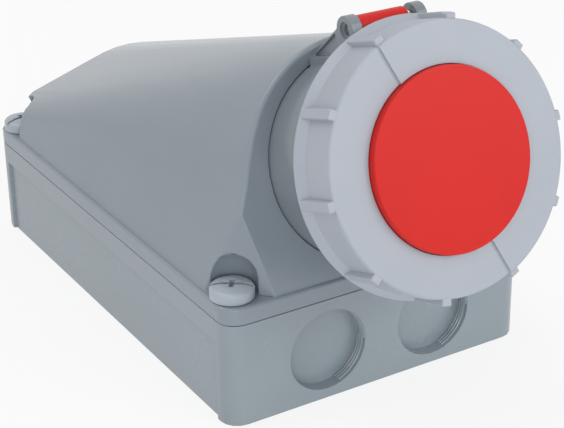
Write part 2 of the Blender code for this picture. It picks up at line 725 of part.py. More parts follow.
def ear_outline():
    """Side view of a hinge ear as (rise, depth): the round eye and the foot along the neck."""
    points = []
    foot_end = HOOD_FACE_DEPTH - 2 * TOUCH
    for i in range(11):
        angle = math.radians(-90 + 170 * i / 10)
        points.append((HINGE_RISE + EAR_RADIUS * math.sin(angle + math.pi / 2),
                       HINGE_DEPTH - EAR_RADIUS * math.cos(angle + math.pi / 2)))
    points.append((NECK_RADIUS - EMBED, foot_end))
    points.append((EAR_FOOT_RISE, foot_end))
    points.append((EAR_FOOT_RISE, EAR_FRONT))
    points.append((NECK_RADIUS + EMBED, EAR_FRONT))
    return points


def ear_prism(name, outline, low, high):
    """An outline of (rise, depth) points carried across X, in the socket's frame."""
    return prism(name, [(rise, -depth) for rise, depth in outline], low, high, SOCKET)


def make_socket_housing():
    housing = neck_rod(NECK_RADIUS, SHOULDER_DEPTH, NECK_REACH)
    housing = keep(housing, in_front_of(FLANGE_DEEP))
    flange = keep(neck_rod(NECK_RADIUS + FLANGE_WIDTH, SHOULDER_DEPTH + EMBED, NECK_REACH - EMBED),
                  front_slab(FLANGE_NEAR, FLANGE_DEEP, HALF_WIDTH))
    add(housing, flange)
    near, deep = HOOD_FACE_DEPTH + FLANGE_NEAR, HOOD_FACE_DEPTH + FLANGE_DEEP
    for side in (-1, 1):
        add(housing, rod("lug", LUG_RADIUS, in_socket(side * LUG_X, LUG_RISE, near),
                         in_socket(side * LUG_X, LUG_RISE, deep), 20))
        low, high = sorted((side * (NECK_RADIUS - NECK_WALL), side * LUG_X))
        inset = EMBED / 4
        add(housing, socket_block("lug_arm", (low, LUG_RISE - LUG_RADIUS + inset, near + inset),
                                  (high, LUG_RISE + LUG_RADIUS - inset, deep - inset)))
    cut(housing, neck_rod(NECK_RADIUS - NECK_WALL, SHOULDER_DEPTH + SHOULDER_PLATE,
                          NECK_REACH + 10 * EMBED))
    cut(housing, rod("mouth", BARREL_RADIUS + BARREL_WALL / 2, in_socket(0, 0, 0),
                     in_socket(0, 0, SHOULDER_DEPTH + 3 * SHOULDER_PLATE)))
    inner = COLLAR_RADIUS - COLLAR_WALL
    barrel = BARREL_RADIUS + BARREL_WALL
    collar_back = SHOULDER_DEPTH + SHOULDER_PLATE / 2
    profile = [(COLLAR_RADIUS, -COLLAR_MOUTH), (COLLAR_RADIUS, -collar_back), (barrel, -collar_back),
               (barrel, -BARREL_END), (BARREL_RADIUS, -BARREL_END), (BARREL_RADIUS, -LEAD_IN),
               (inner, -LEAD_IN + COLLAR_WALL / 2), (inner, -COLLAR_MOUTH)]
    add(housing, turned("collar", profile, SOCKET))
    cut(housing, socket_block("keyway", (-KEY_WIDTH / 2, -BARREL_RADIUS - KEY_DEPTH, LEAD_IN - EMBED),
                              (KEY_WIDTH / 2, -BARREL_RADIUS + 2 * EMBED, BARREL_END - CARRIER_FLANGE)))
    for angle in (-math.degrees(RING_TURN), 180 - math.degrees(RING_TURN)):
        add(housing, lug("collar_lug", COLLAR_RADIUS - EMBED, COLLAR_LUG_TOP, *COLLAR_LUG, angle))
    for side in (-1, 1):
        low, high = sorted((side * EAR_INSIDE, side * EAR_OUTSIDE))
        add(housing, ear_prism("ear", ear_outline(), low, high))
        outer = side * EAR_OUTSIDE
        low, high = sorted((outer - side * EAR_POCKET, outer + side * EMBED))
        slope_start = HINGE_DEPTH + EAR_RADIUS + 2 * EMBED
        recess_end = HOOD_FACE_DEPTH - EAR_POCKET_END
        recess = [(HINGE_RISE - EMBED, slope_start), (NECK_RADIUS + EMBED, recess_end),
                  (NECK_RADIUS, recess_end), (NECK_RADIUS, slope_start)]
        cut(housing, ear_prism("ear_recess", recess, low, high))
    cut(housing, rod("pin_hole", PIN_RADIUS + TOUCH, in_socket(-EAR_OUTSIDE - EMBED, HINGE_RISE, HINGE_DEPTH),
                     in_socket(EAR_OUTSIDE + EMBED, HINGE_RISE, HINGE_DEPTH), 20))
    for side in (-1, 1):
        cut(housing, rod("lug_hole", FIX_SHANK + TOUCH, in_socket(side * LUG_X, LUG_RISE, near - EMBED),
                         in_socket(side * LUG_X, LUG_RISE, deep + EMBED), 12))
    return finish(housing, "socket_housing", "housing_grey")


def make_housing_gasket():
    near = HOOD_WALL + TOUCH
    seal = keep(neck_rod(NECK_RADIUS + FLANGE_WIDTH, SHOULDER_DEPTH + EMBED, NECK_REACH - EMBED),
                front_slab(near, near + SEAL_THICKNESS + TOUCH, HALF_WIDTH))
    cut(seal, neck_rod(NECK_RADIUS + TOUCH, SHOULDER_DEPTH, NECK_REACH))
    return finish(seal, "housing_gasket", "seal_rubber")


def make_housing_screws():
    seat = HOOD_FACE_DEPTH + FLANGE_DEEP + TOUCH
    turn = Matrix.Rotation(math.pi, 4, "X")
    for side, word in ((-1, "left"), (1, "right")):
        length = FLANGE_DEEP - FIX_SKIN
        profile = [(0, FIX_HEAD_HEIGHT), (FIX_HEAD * 0.8, FIX_HEAD_HEIGHT), (FIX_HEAD, FIX_HEAD_HEIGHT / 2),
                   (FIX_HEAD, 0), (FIX_SHANK, 0), (FIX_SHANK, -length), (0, -length)]
        place = SOCKET @ Matrix.Translation((side * LUG_X, LUG_RISE, -seat)) @ turn
        screw = turned("screw", profile, place, 16, closed=False)
        finish(screw, f"housing_screw_{word}", "steel")


def contacts():
    """Name, pin radius and place across the carrier of each main contact; earth is at six o'clock."""
    names = ("earth", "neutral", "phase_1", "phase_2", "phase_3")
    for i, name in enumerate(names):
        angle = math.radians(-90 - 72 * i)
        pin = EARTH_PIN if name == "earth" else PHASE_PIN
        yield name, pin, CONTACT_CIRCLE * math.cos(angle), CONTACT_CIRCLE * math.sin(angle)


def make_contact_carrier():
    back = BARREL_END - TOUCH
    flange = BARREL_RADIUS - TOUCH
    profile = [(0, -CARRIER_FACE), (CARRIER_RADIUS - EMBED, -CARRIER_FACE),
               (CARRIER_RADIUS, -CARRIER_FACE - EMBED), (CARRIER_RADIUS, -back + CARRIER_FLANGE),
               (flange, -back + CARRIER_FLANGE), (flange, -back), (0, -back)]
    carrier = turned("carrier", profile, SOCKET, 40, closed=False)
    holes = [(pin, x, y) for _, pin, x, y in contacts()] + [(PILOT_PIN, 0.0, 0.0)]
    for pin, x, y in holes:
        cut(carrier, rod("way", pin + SLEEVE_WALL + TOUCH, in_socket(x, y, 0),
                         in_socket(x, y, BARREL_END + EMBED), 16))
    return finish(carrier, "contact_carrier", "insert_black")


def make_contacts():
    for name, pin, x, y in contacts():
        outer = pin + SLEEVE_WALL
        frame = SOCKET @ Matrix.Translation((x, y, 0))
        profile = [(outer, -SLEEVE_FACE), (outer, -SLEEVE_END), (WIRE_BORE, -SLEEVE_END),
                   (WIRE_BORE, -SLEEVE_END + WIRE_DEPTH), (0, -SLEEVE_END + WIRE_DEPTH)]
        sleeve = turned(name, profile + [(0, -SLEEVE_BORE_END), (pin, -SLEEVE_BORE_END), (pin, -SLEEVE_FACE)],
                        frame, 16)
        cut(sleeve, rod("clamp_hole", CLAMP_RADIUS + TOUCH, in_socket(x, y, CLAMP_DEPTH),
                        in_socket(x, y + outer + EMBED, CLAMP_DEPTH), 12))
        finish(sleeve, f"contact_{name}", "brass")
        head = outer + TOUCH
        top = head + CLAMP_HEAD_HEIGHT
        profile = [(0, top), (CLAMP_HEAD, top), (CLAMP_HEAD, head), (CLAMP_RADIUS, head),
                   (CLAMP_RADIUS, CLAMP_TIP), (0, CLAMP_TIP)]
        place = SOCKET @ Matrix.Translation((x, y, -CLAMP_DEPTH)) @ Matrix.Rotation(-math.pi / 2, 4, "X")
        finish(turned("clamp", profile, place, 12, closed=False), f"clamp_screw_{name}", "steel")
    outer = PILOT_PIN + SLEEVE_WALL
    profile = [(outer, -SLEEVE_FACE), (outer, -PILOT_END), (0, -PILOT_END), (0, -BARREL_END),
               (PILOT_PIN, -BARREL_END), (PILOT_PIN, -SLEEVE_FACE)]
    finish(turned("pilot", profile, SOCKET, 16), "contact_pilot", "brass")


def make_lid():
    flange_front = RING_FRONT + TOUCH
    flange_back = flange_front + LID_FLANGE_THICKNESS
    profile = [(0, DISC_PROUD), (DISC_RADIUS - DISC_EDGE, DISC_PROUD), (DISC_RADIUS, DISC_PROUD - DISC_EDGE),
               (DISC_RADIUS, -flange_front), (LID_FLANGE, -flange_front), (LID_FLANGE, -flange_back),
               (LID_HOLLOW + 2 * EMBED, -flange_back), (LID_HOLLOW, -LID_PLATE + DISC_PROUD),
               (0, -LID_PLATE + DISC_PROUD)]
    lid = turned("lid", profile, SOCKET, closed=False)
    arm_profile = [(LID_FLANGE, -flange_front - EMBED), (LID_FLANGE, -ARM_END), (ARM_INSIDE, -ARM_END),
                   (ARM_INSIDE, -flange_front - EMBED)]
    arm = turned("arm", arm_profile, SOCKET)
    keep(arm, socket_block("arm_width", (-ARM_HALF, 0, 0), (ARM_HALF, RING_RIM, ARM_END + EMBED)))
    web_rise = math.sqrt(ARM_INSIDE ** 2 - ARM_HALF ** 2) + 2 * EMBED
    web = socket_block("web", (-ARM_HALF + EMBED / 2, web_rise, RING_DEPTH + EMBED),
                       (KNUCKLE_RIGHT - EMBED / 2, HINGE_RISE, ARM_END - EMBED / 2))
    add(arm, web)
    add(arm, rod("knuckle", KNUCKLE_RADIUS, in_socket(-EAR_INSIDE + TOUCH, HINGE_RISE, HINGE_DEPTH),
                 in_socket(KNUCKLE_RIGHT, HINGE_RISE, HINGE_DEPTH), 28))
    add(lid, arm)
    cut(lid, rod("pin_bore", PIN_RADIUS + TOUCH, in_socket(-EAR_OUTSIDE, HINGE_RISE, HINGE_DEPTH),
                 in_socket(EAR_OUTSIDE, HINGE_RISE, HINGE_DEPTH), 20))
    return finish(lid, "lid", "lid_red")


def make_lid_gasket():
    back = RING_FRONT + 2 * TOUCH + LID_FLANGE_THICKNESS
    middle = COLLAR_RADIUS - COLLAR_WALL / 2
    low, high = middle - SEAL_WIDTH / 2, middle + SEAL_WIDTH / 2
    front = COLLAR_MOUTH - TOUCH
    profile = [(high, -back), (high, -front), (low, -front), (low, -back)]
    return finish(turned("lid_seal", profile, SOCKET, 36), "lid_gasket", "seal_rubber")


def make_locking_ring():
    bore = DISC_RADIUS + TOUCH
    inner = RING_BAND - RING_WALL
    profile = [(bore, 0)]
    for i in range(5):
        angle = math.pi / 2 * (1 - i / 4)
        profile.append((RING_BAND - RING_ROUND + RING_ROUND * math.cos(angle),
                        -RING_ROUND + RING_ROUND * math.sin(angle)))
    profile += [(RING_BAND + EMBED / 2, -RIM_FRONT), (RIM_CHAMFER, -RIM_FRONT),
                (RING_RIM, -RING_DEPTH + EMBED / 2), (RING_RIM, -RING_DEPTH), (inner, -RING_DEPTH),
                (inner, -RING_FRONT), (bore, -RING_FRONT)]
    ring = turned("ring", profile, SOCKET, 60)
    for i in range(RIBS):
        rib = rib_solid()
        rib.data.transform(SOCKET @ Matrix.Rotation(RIB_START + math.tau * i / RIBS, 4, "Z"))
        add(ring, rib)
    lug_near = COLLAR_LUG[1] + TOUCH
    for angle in (0, 180):
        add(ring, lug("ring_lug", RING_LUG_TIP, inner + EMBED, lug_near,
                      lug_near + RING_LUG_THICKNESS, angle))
    snap_near = RING_FRONT + 2 * TOUCH + LID_FLANGE_THICKNESS
    for angle in SNAP_ANGLES:
        add(ring, lug("snap", SNAP_TIP, inner + EMBED, snap_near, snap_near + 2 * EMBED, angle, LUG_HALF / 2))
    return finish(ring, "locking_ring", "ring_grey")


def rib_solid():
    """One grip rib at twelve o'clock in the socket's frame: a bar with a sloping, chamfered front."""
    rib = block("rib", (-RIB_WIDTH / 2, RING_BAND - RIB_ROOT, -RIM_FRONT - 2 * EMBED),
                (RIB_WIDTH / 2, RIB_TOP, -RIB_SETBACK))
    bm = bmesh.new()
    bm.from_mesh(rib.data)
    top = [e for e in bm.edges if all(v.co.y > RIB_TOP - EMBED / 2 for v in e.verts)
           and (abs(e.verts[0].co.z - e.verts[1].co.z) > EMBED or e.verts[0].co.z > -EMBED)]
    bmesh.ops.bevel(bm, geom=top, offset=RIB_EDGE, segments=1, affect="EDGES")
    bm.to_mesh(rib.data)
    bm.free()
    return rib


def make_hinge_pin():
    pin = rod("pin", PIN_RADIUS, in_socket(-PIN_END, HINGE_RISE, HINGE_DEPTH),
              in_socket(PIN_END, HINGE_RISE, HINGE_DEPTH), 20)
    return finish(pin, "hinge_pin", "steel")


def make_lid_spring():
    """Two turns of wire round the pin, between the knuckle and the right ear."""
    coil = PIN_RADIUS + TOUCH + SPRING_WIRE
    start = KNUCKLE_RIGHT + TOUCH + SPRING_WIRE
    pitch = (EAR_INSIDE - KNUCKLE_RIGHT - 2 * TOUCH - 2 * SPRING_WIRE) / SPRING_TURNS
    steps = 10 * SPRING_TURNS
    curve = bpy.data.curves.new("spring", "CURVE")
    curve.dimensions = "3D"
    curve.bevel_depth = SPRING_WIRE
    curve.bevel_resolution = 1
    curve.use_fill_caps = True
    line = curve.splines.new("POLY")
    line.points.add(steps)
    for i in range(steps + 1):
        angle = math.tau * SPRING_TURNS * i / steps
        place = in_socket(start + pitch * SPRING_TURNS * i / steps,
                          HINGE_RISE + coil * math.cos(angle), HINGE_DEPTH + coil * math.sin(angle))
        line.points[i].co = (*place, 1.0)
    carrier = bpy.data.objects.new("spring_curve", curve)
    CUTTERS.objects.link(carrier)
    bpy.context.view_layer.update()
    depsgraph = bpy.context.evaluated_depsgraph_get()
    mesh = bpy.data.meshes.new_from_object(carrier.evaluated_get(depsgraph))
    bpy.data.objects.remove(carrier, do_unlink=True)
    return finish(link(mesh, "spring"), "lid_spring", "steel")


def main():
    make_base_box()
    make_cover_gasket()
    make_cover_hood()
    for name, x_side, y_side in corners():
        make_cover_screw(f"cover_screw_{name}", x_side, y_side)
    make_socket_housing()
    make_housing_gasket()
    make_housing_screws()
    make_contact_carrier()
    make_contacts()
    make_hinge_pin()
    make_lid_spring()
    make_lid()
    make_lid_gasket()
    make_locking_ring()


main()
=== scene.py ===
import json
import math

import bmesh
import bpy
from bpy.props import FloatProperty, FloatVectorProperty, IntProperty, PointerProperty
from mathutils import Matrix, Vector


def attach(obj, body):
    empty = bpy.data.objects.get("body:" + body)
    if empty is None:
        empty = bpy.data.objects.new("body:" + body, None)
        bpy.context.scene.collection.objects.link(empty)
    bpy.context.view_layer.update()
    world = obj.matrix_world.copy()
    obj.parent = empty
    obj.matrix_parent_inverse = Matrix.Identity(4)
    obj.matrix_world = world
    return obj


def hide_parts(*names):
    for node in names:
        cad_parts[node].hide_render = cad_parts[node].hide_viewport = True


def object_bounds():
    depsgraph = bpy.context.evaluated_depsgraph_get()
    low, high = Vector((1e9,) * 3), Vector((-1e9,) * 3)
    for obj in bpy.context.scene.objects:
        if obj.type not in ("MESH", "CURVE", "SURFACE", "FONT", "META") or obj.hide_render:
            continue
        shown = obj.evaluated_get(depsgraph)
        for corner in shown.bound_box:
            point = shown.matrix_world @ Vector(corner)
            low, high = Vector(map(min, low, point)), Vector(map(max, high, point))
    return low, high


bl_info = {
    "name": "Industrial wall socket",
    "version": (1, 0, 0),
    "blender": (4, 5, 0),
    "location": "3D View > Sidebar > Wall socket",
    "description": "Dresses the packed wall socket: mouldings, locking ring, lid, contacts and studio",
    "category": "Object",
}

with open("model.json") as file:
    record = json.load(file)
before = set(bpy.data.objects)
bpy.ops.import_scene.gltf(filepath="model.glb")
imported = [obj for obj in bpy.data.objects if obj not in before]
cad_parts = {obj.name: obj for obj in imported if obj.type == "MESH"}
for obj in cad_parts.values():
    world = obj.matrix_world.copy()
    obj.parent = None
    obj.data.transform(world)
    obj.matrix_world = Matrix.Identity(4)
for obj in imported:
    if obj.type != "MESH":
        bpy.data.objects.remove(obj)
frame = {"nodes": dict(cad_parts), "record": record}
CAD_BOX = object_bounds()
NODES = frame["nodes"]

MM = 0.001
OVER = 1.0 * MM            # how far a cutting tool runs past what it cuts
TOUCH = 0.3 * MM           # between two pieces that meet
ROOM = 1.0                 # a length past every piece
ON_AXIS = 0.01 * MM        # a radius up to here counts as none

# The socket's own frame: local +Z looks out of it, local +Y points up across it
TILT = math.radians(17.85)
RING_CENTRE = Vector((0, -183.165 * MM, 134.548 * MM))
SOCKET = Matrix.Translation(RING_CENTRE) @ Matrix.Rotation(math.pi / 2 - TILT, 4, "X")

# Sizes of the frame's pieces; a depth runs back from the ring's front, a rise up from the socket's axis
COLLAR_RADIUS = 48.8 * MM
RING_INSIDE = 54.3 * MM
RING_RIM = 63.4 * MM
RING_DEPTH = 25.5 * MM
RING_PLATE = 3.2 * MM      # thickness of the ring's front wall
RIB_WIDTH = 4.7 * MM
RIB_START = math.radians(24.2)     # from twelve o'clock to the first rib
RING_LUG_TIP = COLLAR_RADIUS + 0.9 * MM
RING_LUG_DEPTHS = (17.3 * MM, 20.9 * MM)
RING_LUG_ANGLES = (0, 180)
RING_LUG_HALF = 9.0        # degrees to each side
SNAP_TIP = COLLAR_RADIUS + 4.1 * MM
SNAP_DEPTHS = (6.6 * MM, 8.6 * MM)
SNAP_ANGLES = (60, 180, 300)
SNAP_HALF = 4.5
LID_FLANGE = 53.8 * MM
LID_FLANGE_DEPTHS = (3.5 * MM, 6.3 * MM)
LID_HOLLOW = COLLAR_RADIUS - 13.0 * MM
LID_HOLLOW_FLOOR = 2.2 * MM
ARM_INSIDE = 51.0 * MM
ARM_HALF = 12.5 * MM
NECK_RADIUS = 49.6 * MM
HOOD_FACE_DEPTH = 71.4 * MM
HINGE_RISE = 60.6 * MM
HINGE_DEPTH = 36.2 * MM
ARM_END = HINGE_DEPTH + 2.5 * MM
EAR_INSIDE = 14.5 * MM
EAR_OUTSIDE = 22.3 * MM
KNUCKLE_RADIUS = 5.6 * MM
KNUCKLE_RIGHT = 11.0 * MM
PIN_RADIUS = 2.4 * MM
SPRING_WIRE = 0.35 * MM    # wire radius
SCREW_X = 74.0 * MM
SCREW_Y = 120.0 * MM
SCREW_SEAT = 61.8 * MM
POCKET_RADIUS = 12.0 * MM
HEAD_RADIUS = 10.5 * MM
HEAD_HEIGHT = 6.5 * MM
SHANK_RADIUS = 2.5 * MM
ENTRY_RADIUS = 20.9 * MM
ENTRY_X = 30.5 * MM
ENTRY_Z = 26.1 * MM
ENTRY_REACH = 10.0 * MM    # from the box's end to behind the entry's floor
BOX_END = -133.5 * MM

# Sizes read from the photograph, where the scene is nearer to it than the frame is
DISC_RADIUS = 40.9 * MM
DISC_PROUD = 2.6 * MM      # how far the disc stands before the ring
DISC_EDGE = 1.0 * MM
RING_BAND = 60.3 * MM
RIB_TOP = 63.3 * MM
EAR_FACE = 20.2 * MM       # the ears are trimmed down to here
PIN_END = 17.6 * MM

# Details of the locking ring
BAND_GROWTH = 0.3 * MM     # how much wider the band is behind its front edge
BAND_START = 4.0 * MM      # depth from which it has that width
FLARE_START = 20.4 * MM    # depth from which it widens to the rim
RIM_START = 24.4 * MM
FACE_EDGE = 1.3 * MM
BORE_EDGE = 0.35 * MM
MOUTH_EDGE = 0.4 * MM
RIB_ROOT = 2.0 * MM        # how far a rib runs into the band
RIB_SETBACK = 0.4 * MM     # from the ring's lower face to a rib's front
RIB_END = 24.0 * MM

# Details of the lid
FLANGE_EDGE = 0.3 * MM
HOLLOW_SLOPE = 2.0 * MM
HOLLOW_EDGES = (0.4 * MM, 0.8 * MM)    # at the hollow's mouth and at its floor
WEB_INSET = 0.5 * MM       # the web is this much narrower than what it joins
LID_EDGE = 0.3 * MM

# Details of the housing's ears
NECK_SKIN = NECK_RADIUS + 0.15 * MM    # cuts stop here, just outside the neck
TRIM_START = 20.0 * MM
TRIM_REACH = 25.0 * MM
CHANNEL_DEPTH = 1.8 * MM
CHANNEL_START = HINGE_DEPTH + 8.5 * MM
CHANNEL_END = HOOD_FACE_DEPTH - 7.0 * MM
CHANNEL_TOP = HINGE_RISE - 1.0 * MM
CHANNEL_FOOT = NECK_RADIUS + 1.0 * MM
EYE_RADIUS = 3.6 * MM      # recess round the hinge pin's end
EYE_DEPTH = 1.5 * MM

# Details of a cover screw; a drop is measured from the top of its head
DOME_RADIUS = 5.5 * MM
DOME_DROP = 0.15 * MM
BROW_RADIUS = 9.6 * MM
BROW_DROP = 1.0 * MM
HEAD_SIDE_DROP = 2.2 * MM
SHANK_LENGTH = 29.0 * MM
SLOT_HALF = 0.85 * MM
SLOT_DEPTH = 2.4 * MM
SLOT_TURN = math.radians(-35)
CROSS_ARM = 3.6 * MM
CROSS_HALF = 1.1 * MM
CROSS_DEPTH = 3.0 * MM
CORNER_TURN = 0.8          # radians from one screw to the next
SCREW_EDGE = 0.2 * MM

# Details of a cable entry's thread
THREAD_START = 1.0 * MM    # from the box's end
THREAD_SINK = 0.1 * MM     # from the entry's wall to the wire's middle
THREAD_WIRE = 0.7 * MM     # wire radius
THREAD_GAP_X = 7.0 * MM    # the thread is left out to the left of here and below the next value
THREAD_GAP_Z = -9.0 * MM

# Roundings of the hood's edges, as shares of the moulded edge
FINE_SHARE = 0.3           # skirt's rim and neck's opening
ARCH_SHARE = 2.1           # front arch

# Roundings of the insert's edges
CARRIER_EDGE = 0.35 * MM
SLEEVE_EDGE = 0.25 * MM

# Mesh limits
MERGE = 0.01 * MM          # vertices of a copied node closer than this are one
FLAT_ANGLE = math.radians(0.5)
EDGE_ANGLE = 28.0          # degrees; an edge sharper than this is rounded
SHARP_EDGE_ANGLE = 50.0    # the same on turned pieces, whose facets stay as they are
SMOOTH_ANGLE = 32.0        # degrees; an edge up to this is shaded smooth
NORMAL_WEIGHT = 60         # how strongly large faces pull the shading
TURNED_SIDES = 144
ROD_SIDES = 48
HOLE_SIDES = 32
ARC_STEPS = 8

BODY_OF_REST = "enclosure"
BODY_OF_LID = "lid"
BODY_OF_RING = "lock_ring"


class SocketSizes(bpy.types.PropertyGroup):
    """Sizes of the details that are added to the frame."""

    moulded_edge: FloatProperty(
        name="Moulded edge", description="Rounding of the hood's edges",
        default=1.1 * MM, min=0.0, subtype="DISTANCE", unit="LENGTH")
    fine_edge: FloatProperty(
        name="Fine edge", description="Rounding of the box's and the housing's edges",
        default=0.55 * MM, min=0.0, subtype="DISTANCE", unit="LENGTH")
    ring_edge: FloatProperty(
        name="Ring edge", description="Rounding of the locking ring's ribs and rims",
        default=0.6 * MM, min=0.0, subtype="DISTANCE", unit="LENGTH")
    ring_step: FloatProperty(
        name="Ring step", description="How far one half of the ring's face stands over the other",
        default=1.2 * MM, min=0.0, subtype="DISTANCE", unit="LENGTH")
    ribs: IntProperty(
        name="Grip ribs", description="Number of ribs round the locking ring", default=10, min=1)
    thread_turns: FloatProperty(
        name="Thread turns", description="Turns of thread in each cable entry", default=3.0, min=0.5)
    thread_pitch: FloatProperty(
        name="Thread pitch", description="Distance from one thread turn to the next",
        default=1.7 * MM, min=0.1 * MM, subtype="DISTANCE", unit="LENGTH")


class SocketColours(bpy.types.PropertyGroup):
    """Colours of the mouldings, as linear values."""

    hood: FloatVectorProperty(
        name="Hood", description="Cover hood", subtype="COLOR", size=3, min=0, max=1,
        default=(0.245, 0.286, 0.323))
    box: FloatVectorProperty(
        name="Box", description="Back box", subtype="COLOR", size=3, min=0, max=1,
        default=(0.27, 0.315, 0.35))
    # Partly the housing's own grey and partly painted shade: darker than the hood to stand in for the ring's
    # shade over the neck
    housing: FloatVectorProperty(
        name="Housing", description="Socket housing with its ears", subtype="COLOR", size=3, min=0, max=1,
        default=(0.205, 0.240, 0.268))
    ring: FloatVectorProperty(
        name="Ring", description="Locking ring", subtype="COLOR", size=3, min=0, max=1,
        default=(0.385, 0.418, 0.470))
    lid: FloatVectorProperty(
        name="Lid", description="Hinged lid", subtype="COLOR", size=3, min=0, max=1,
        default=(0.60, 0.016, 0.012))
    screw: FloatVectorProperty(
        name="Screws", description="Cover screws", subtype="COLOR", size=3, min=0, max=1,
        default=(0.38, 0.43, 0.48))


def sizes():
    return bpy.context.scene.socket_sizes


def colours():
    return bpy.context.scene.socket_colours


# Shader maths


class Wire:
    """A socket of a shader tree that can be used in arithmetic."""

    def __init__(self, tree, socket):
        self.tree = tree
        self.socket = socket

    def maths(self, operation, first, second):
        return shader_node(self.tree, "ShaderNodeMath", {"operation": operation}, {0: first, 1: second})

    def __add__(self, other):
        return self.maths("ADD", self, other)

    def __sub__(self, other):
        return self.maths("SUBTRACT", self, other)

    def __rsub__(self, other):
        return self.maths("SUBTRACT", other, self)

    def __mul__(self, other):
        return self.maths("MULTIPLY", self, other)

    def __truediv__(self, other):
        return self.maths("DIVIDE", self, other)

    def __pow__(self, other):
        return self.maths("POWER", self, other)

    __radd__ = __add__
    __rmul__ = __mul__


# Mix has a socket of the same name for each kind of data, so its colour sockets go by number
MIX_FACTOR, MIX_FIRST, MIX_SECOND = 0, 6, 7
MIX_RESULT = 2


def shader_node(tree, kind, settings, values, output=0):
    """Add one node: its settings come first, then the values or links of its sockets."""
    node = tree.nodes.new(kind)
    for name, value in settings.items():
        if name == "stops":
            for element, (place, shade) in zip(node.color_ramp.elements, value):
                element.position = place
                element.color = (shade, shade, shade, 1.0)
        else:
            setattr(node, name, value)
    for key, value in values.items():
        if isinstance(value, Wire):
            tree.links.new(value.socket, node.inputs[key])
        else:
            node.inputs[key].default_value = value
    return Wire(tree, node.outputs[output])


def noise(tree, place, scale, detail=2.0, roughness=0.5):
    return shader_node(tree, "ShaderNodeTexNoise", {},
                       {"Vector": place, "Scale": scale, "Detail": detail, "Roughness": roughness})


def stretched(tree, place, scale, turn=(0, 0, 0)):
    """Places scaled by axis and turned, so that a noise read there runs in streaks."""
    return shader_node(tree, "ShaderNodeMapping", {},
                       {"Vector": place, "Scale": scale, "Rotation": turn})


def ramp(tree, value, low, high):
    """0 up to low, 1 from high on, and a straight rise between them."""
    return shader_node(tree, "ShaderNodeValToRGB", {"stops": [(low, 0.0), (high, 1.0)]}, {"Fac": value})


def blended(tree, factor, first, second):
    """Colour between two colours."""
    return shader_node(tree, "ShaderNodeMix", {"data_type": "RGBA"},
                       {MIX_FACTOR: factor, MIX_FIRST: first, MIX_SECOND: second}, output=MIX_RESULT)


def shaded(colour, factor):
    """A colour made lighter or darker, with full alpha."""
    return tuple(min(1.0, c * factor) for c in colour) + (1.0,)


def new_material(name):
    """A material with its tree, its shader and the places of its object."""
    made = bpy.data.materials.new(name)
    made.use_nodes = True
    tree = made.node_tree
    shader = tree.nodes["Principled BSDF"]
    place = shader_node(tree, "ShaderNodeTexCoord", {}, {}, output="Object")
    return made, tree, shader, place


def feed(tree, shader, **values):
    """Set or link inputs of the shader; an underscore in a name stands for a space."""
    for name, value in values.items():
        socket = shader.inputs[name.replace("_", " ")]
        if isinstance(value, Wire):
            tree.links.new(value.socket, socket)
        else:
            socket.default_value = value


def bumped(tree, height, strength=1.0, distance=1.0):
    return shader_node(tree, "ShaderNodeBump", {},
                       {"Height": height, "Strength": strength, "Distance": distance})


# How far each layer changes a plastic
CLOUD_ROUGH = 0.08
SCRATCH_ROUGH = 0.2
DUST_ROUGH = 0.08
DUST_SHARE = 0.15
DUST_LIGHT = 1.4
WAVE_HEIGHT = 0.04 * MM
SCRATCH_DEPTH = 0.003 * MM

# Stretch of the flow marks, and stretch and turn of the scratches of each direction
FLOW = (9.0, 2.5, 9.0)
SCRATCH_A = ((1.0, 40.0, 40.0), (0.3, 0.2, 0.5))
SCRATCH_B = ((40.0, 1.0, 40.0), (0.1, 0.5, 0.9))


def moulded_plastic(name, colour, gloss, grain, grain_depth, mottle=0.04, scuffs=0.12, shine=0.5):
    """Injection-moulded plastic: faint flow mottling, dust, hairline scuffs and a moulded grain.

    gloss is the roughness, grain the size of one grain and grain_depth its height.
    mottle is how far the colour varies, scuffs how much the scratches show, shine the specular level.
    """
    made, tree, shader, place = new_material(name)
    cloud = noise(tree, place, scale=18.0, detail=3.0)
    flow = noise(tree, stretched(tree, place, FLOW), scale=6.0, detail=4.0, roughness=0.6)
    mottling = ramp(tree, cloud * 0.6 + flow * 0.4, low=0.3, high=0.7)
    base = blended(tree, mottling, shaded(colour, 1 - mottle), shaded(colour, 1 + mottle))
    patch = ramp(tree, noise(tree, place, scale=30.0), low=0.5, high=0.75)
    dust = ramp(tree, noise(tree, place, scale=900.0, detail=1.0), low=0.70, high=0.78) * patch
    base = blended(tree, dust * DUST_SHARE, base, shaded(colour, DUST_LIGHT))
    along = noise(tree, stretched(tree, place, *SCRATCH_A), scale=55.0)
    across = noise(tree, stretched(tree, place, *SCRATCH_B), scale=55.0)
    scratches = (ramp(tree, along, low=0.66, high=0.72) + ramp(tree, across, low=0.68, high=0.74)) * patch
    rough = cloud * CLOUD_ROUGH + scratches * scuffs * SCRATCH_ROUGH + dust * DUST_ROUGH \
        + (gloss - CLOUD_ROUGH / 2)
    fine = noise(tree, place, scale=1.0 / grain, roughness=0.6)
    wave = noise(tree, place, scale=95.0, detail=1.0)
    height = fine * grain_depth + wave * WAVE_HEIGHT - scratches * SCRATCH_DEPTH
    feed(tree, shader, Base_Color=base, Roughness=rough, Specular_IOR_Level=shine,
         Normal=bumped(tree, height))
    return made


def satin_rubber(name, colour, gloss=0.62):
    """Dark rubber: cloudy, with a pale bloom in patches and a fine grain."""
    made, tree, shader, place = new_material(name)
    cloud = noise(tree, place, scale=60.0, detail=3.0)
    base = blended(tree, cloud, shaded(colour, 0.8), shaded(colour, 1.35))
    bloom = ramp(tree, noise(tree, place, scale=220.0, detail=3.0), low=0.55, high=0.8)
    base = blended(tree, bloom * 0.25, base, (0.06, 0.06, 0.06, 1.0))
    grain = noise(tree, place, scale=2200.0)
    feed(tree, shader, Base_Color=base, Roughness=cloud * 0.15 + gloss,
         Normal=bumped(tree, grain, strength=0.25, distance=0.05 * MM))
    return made


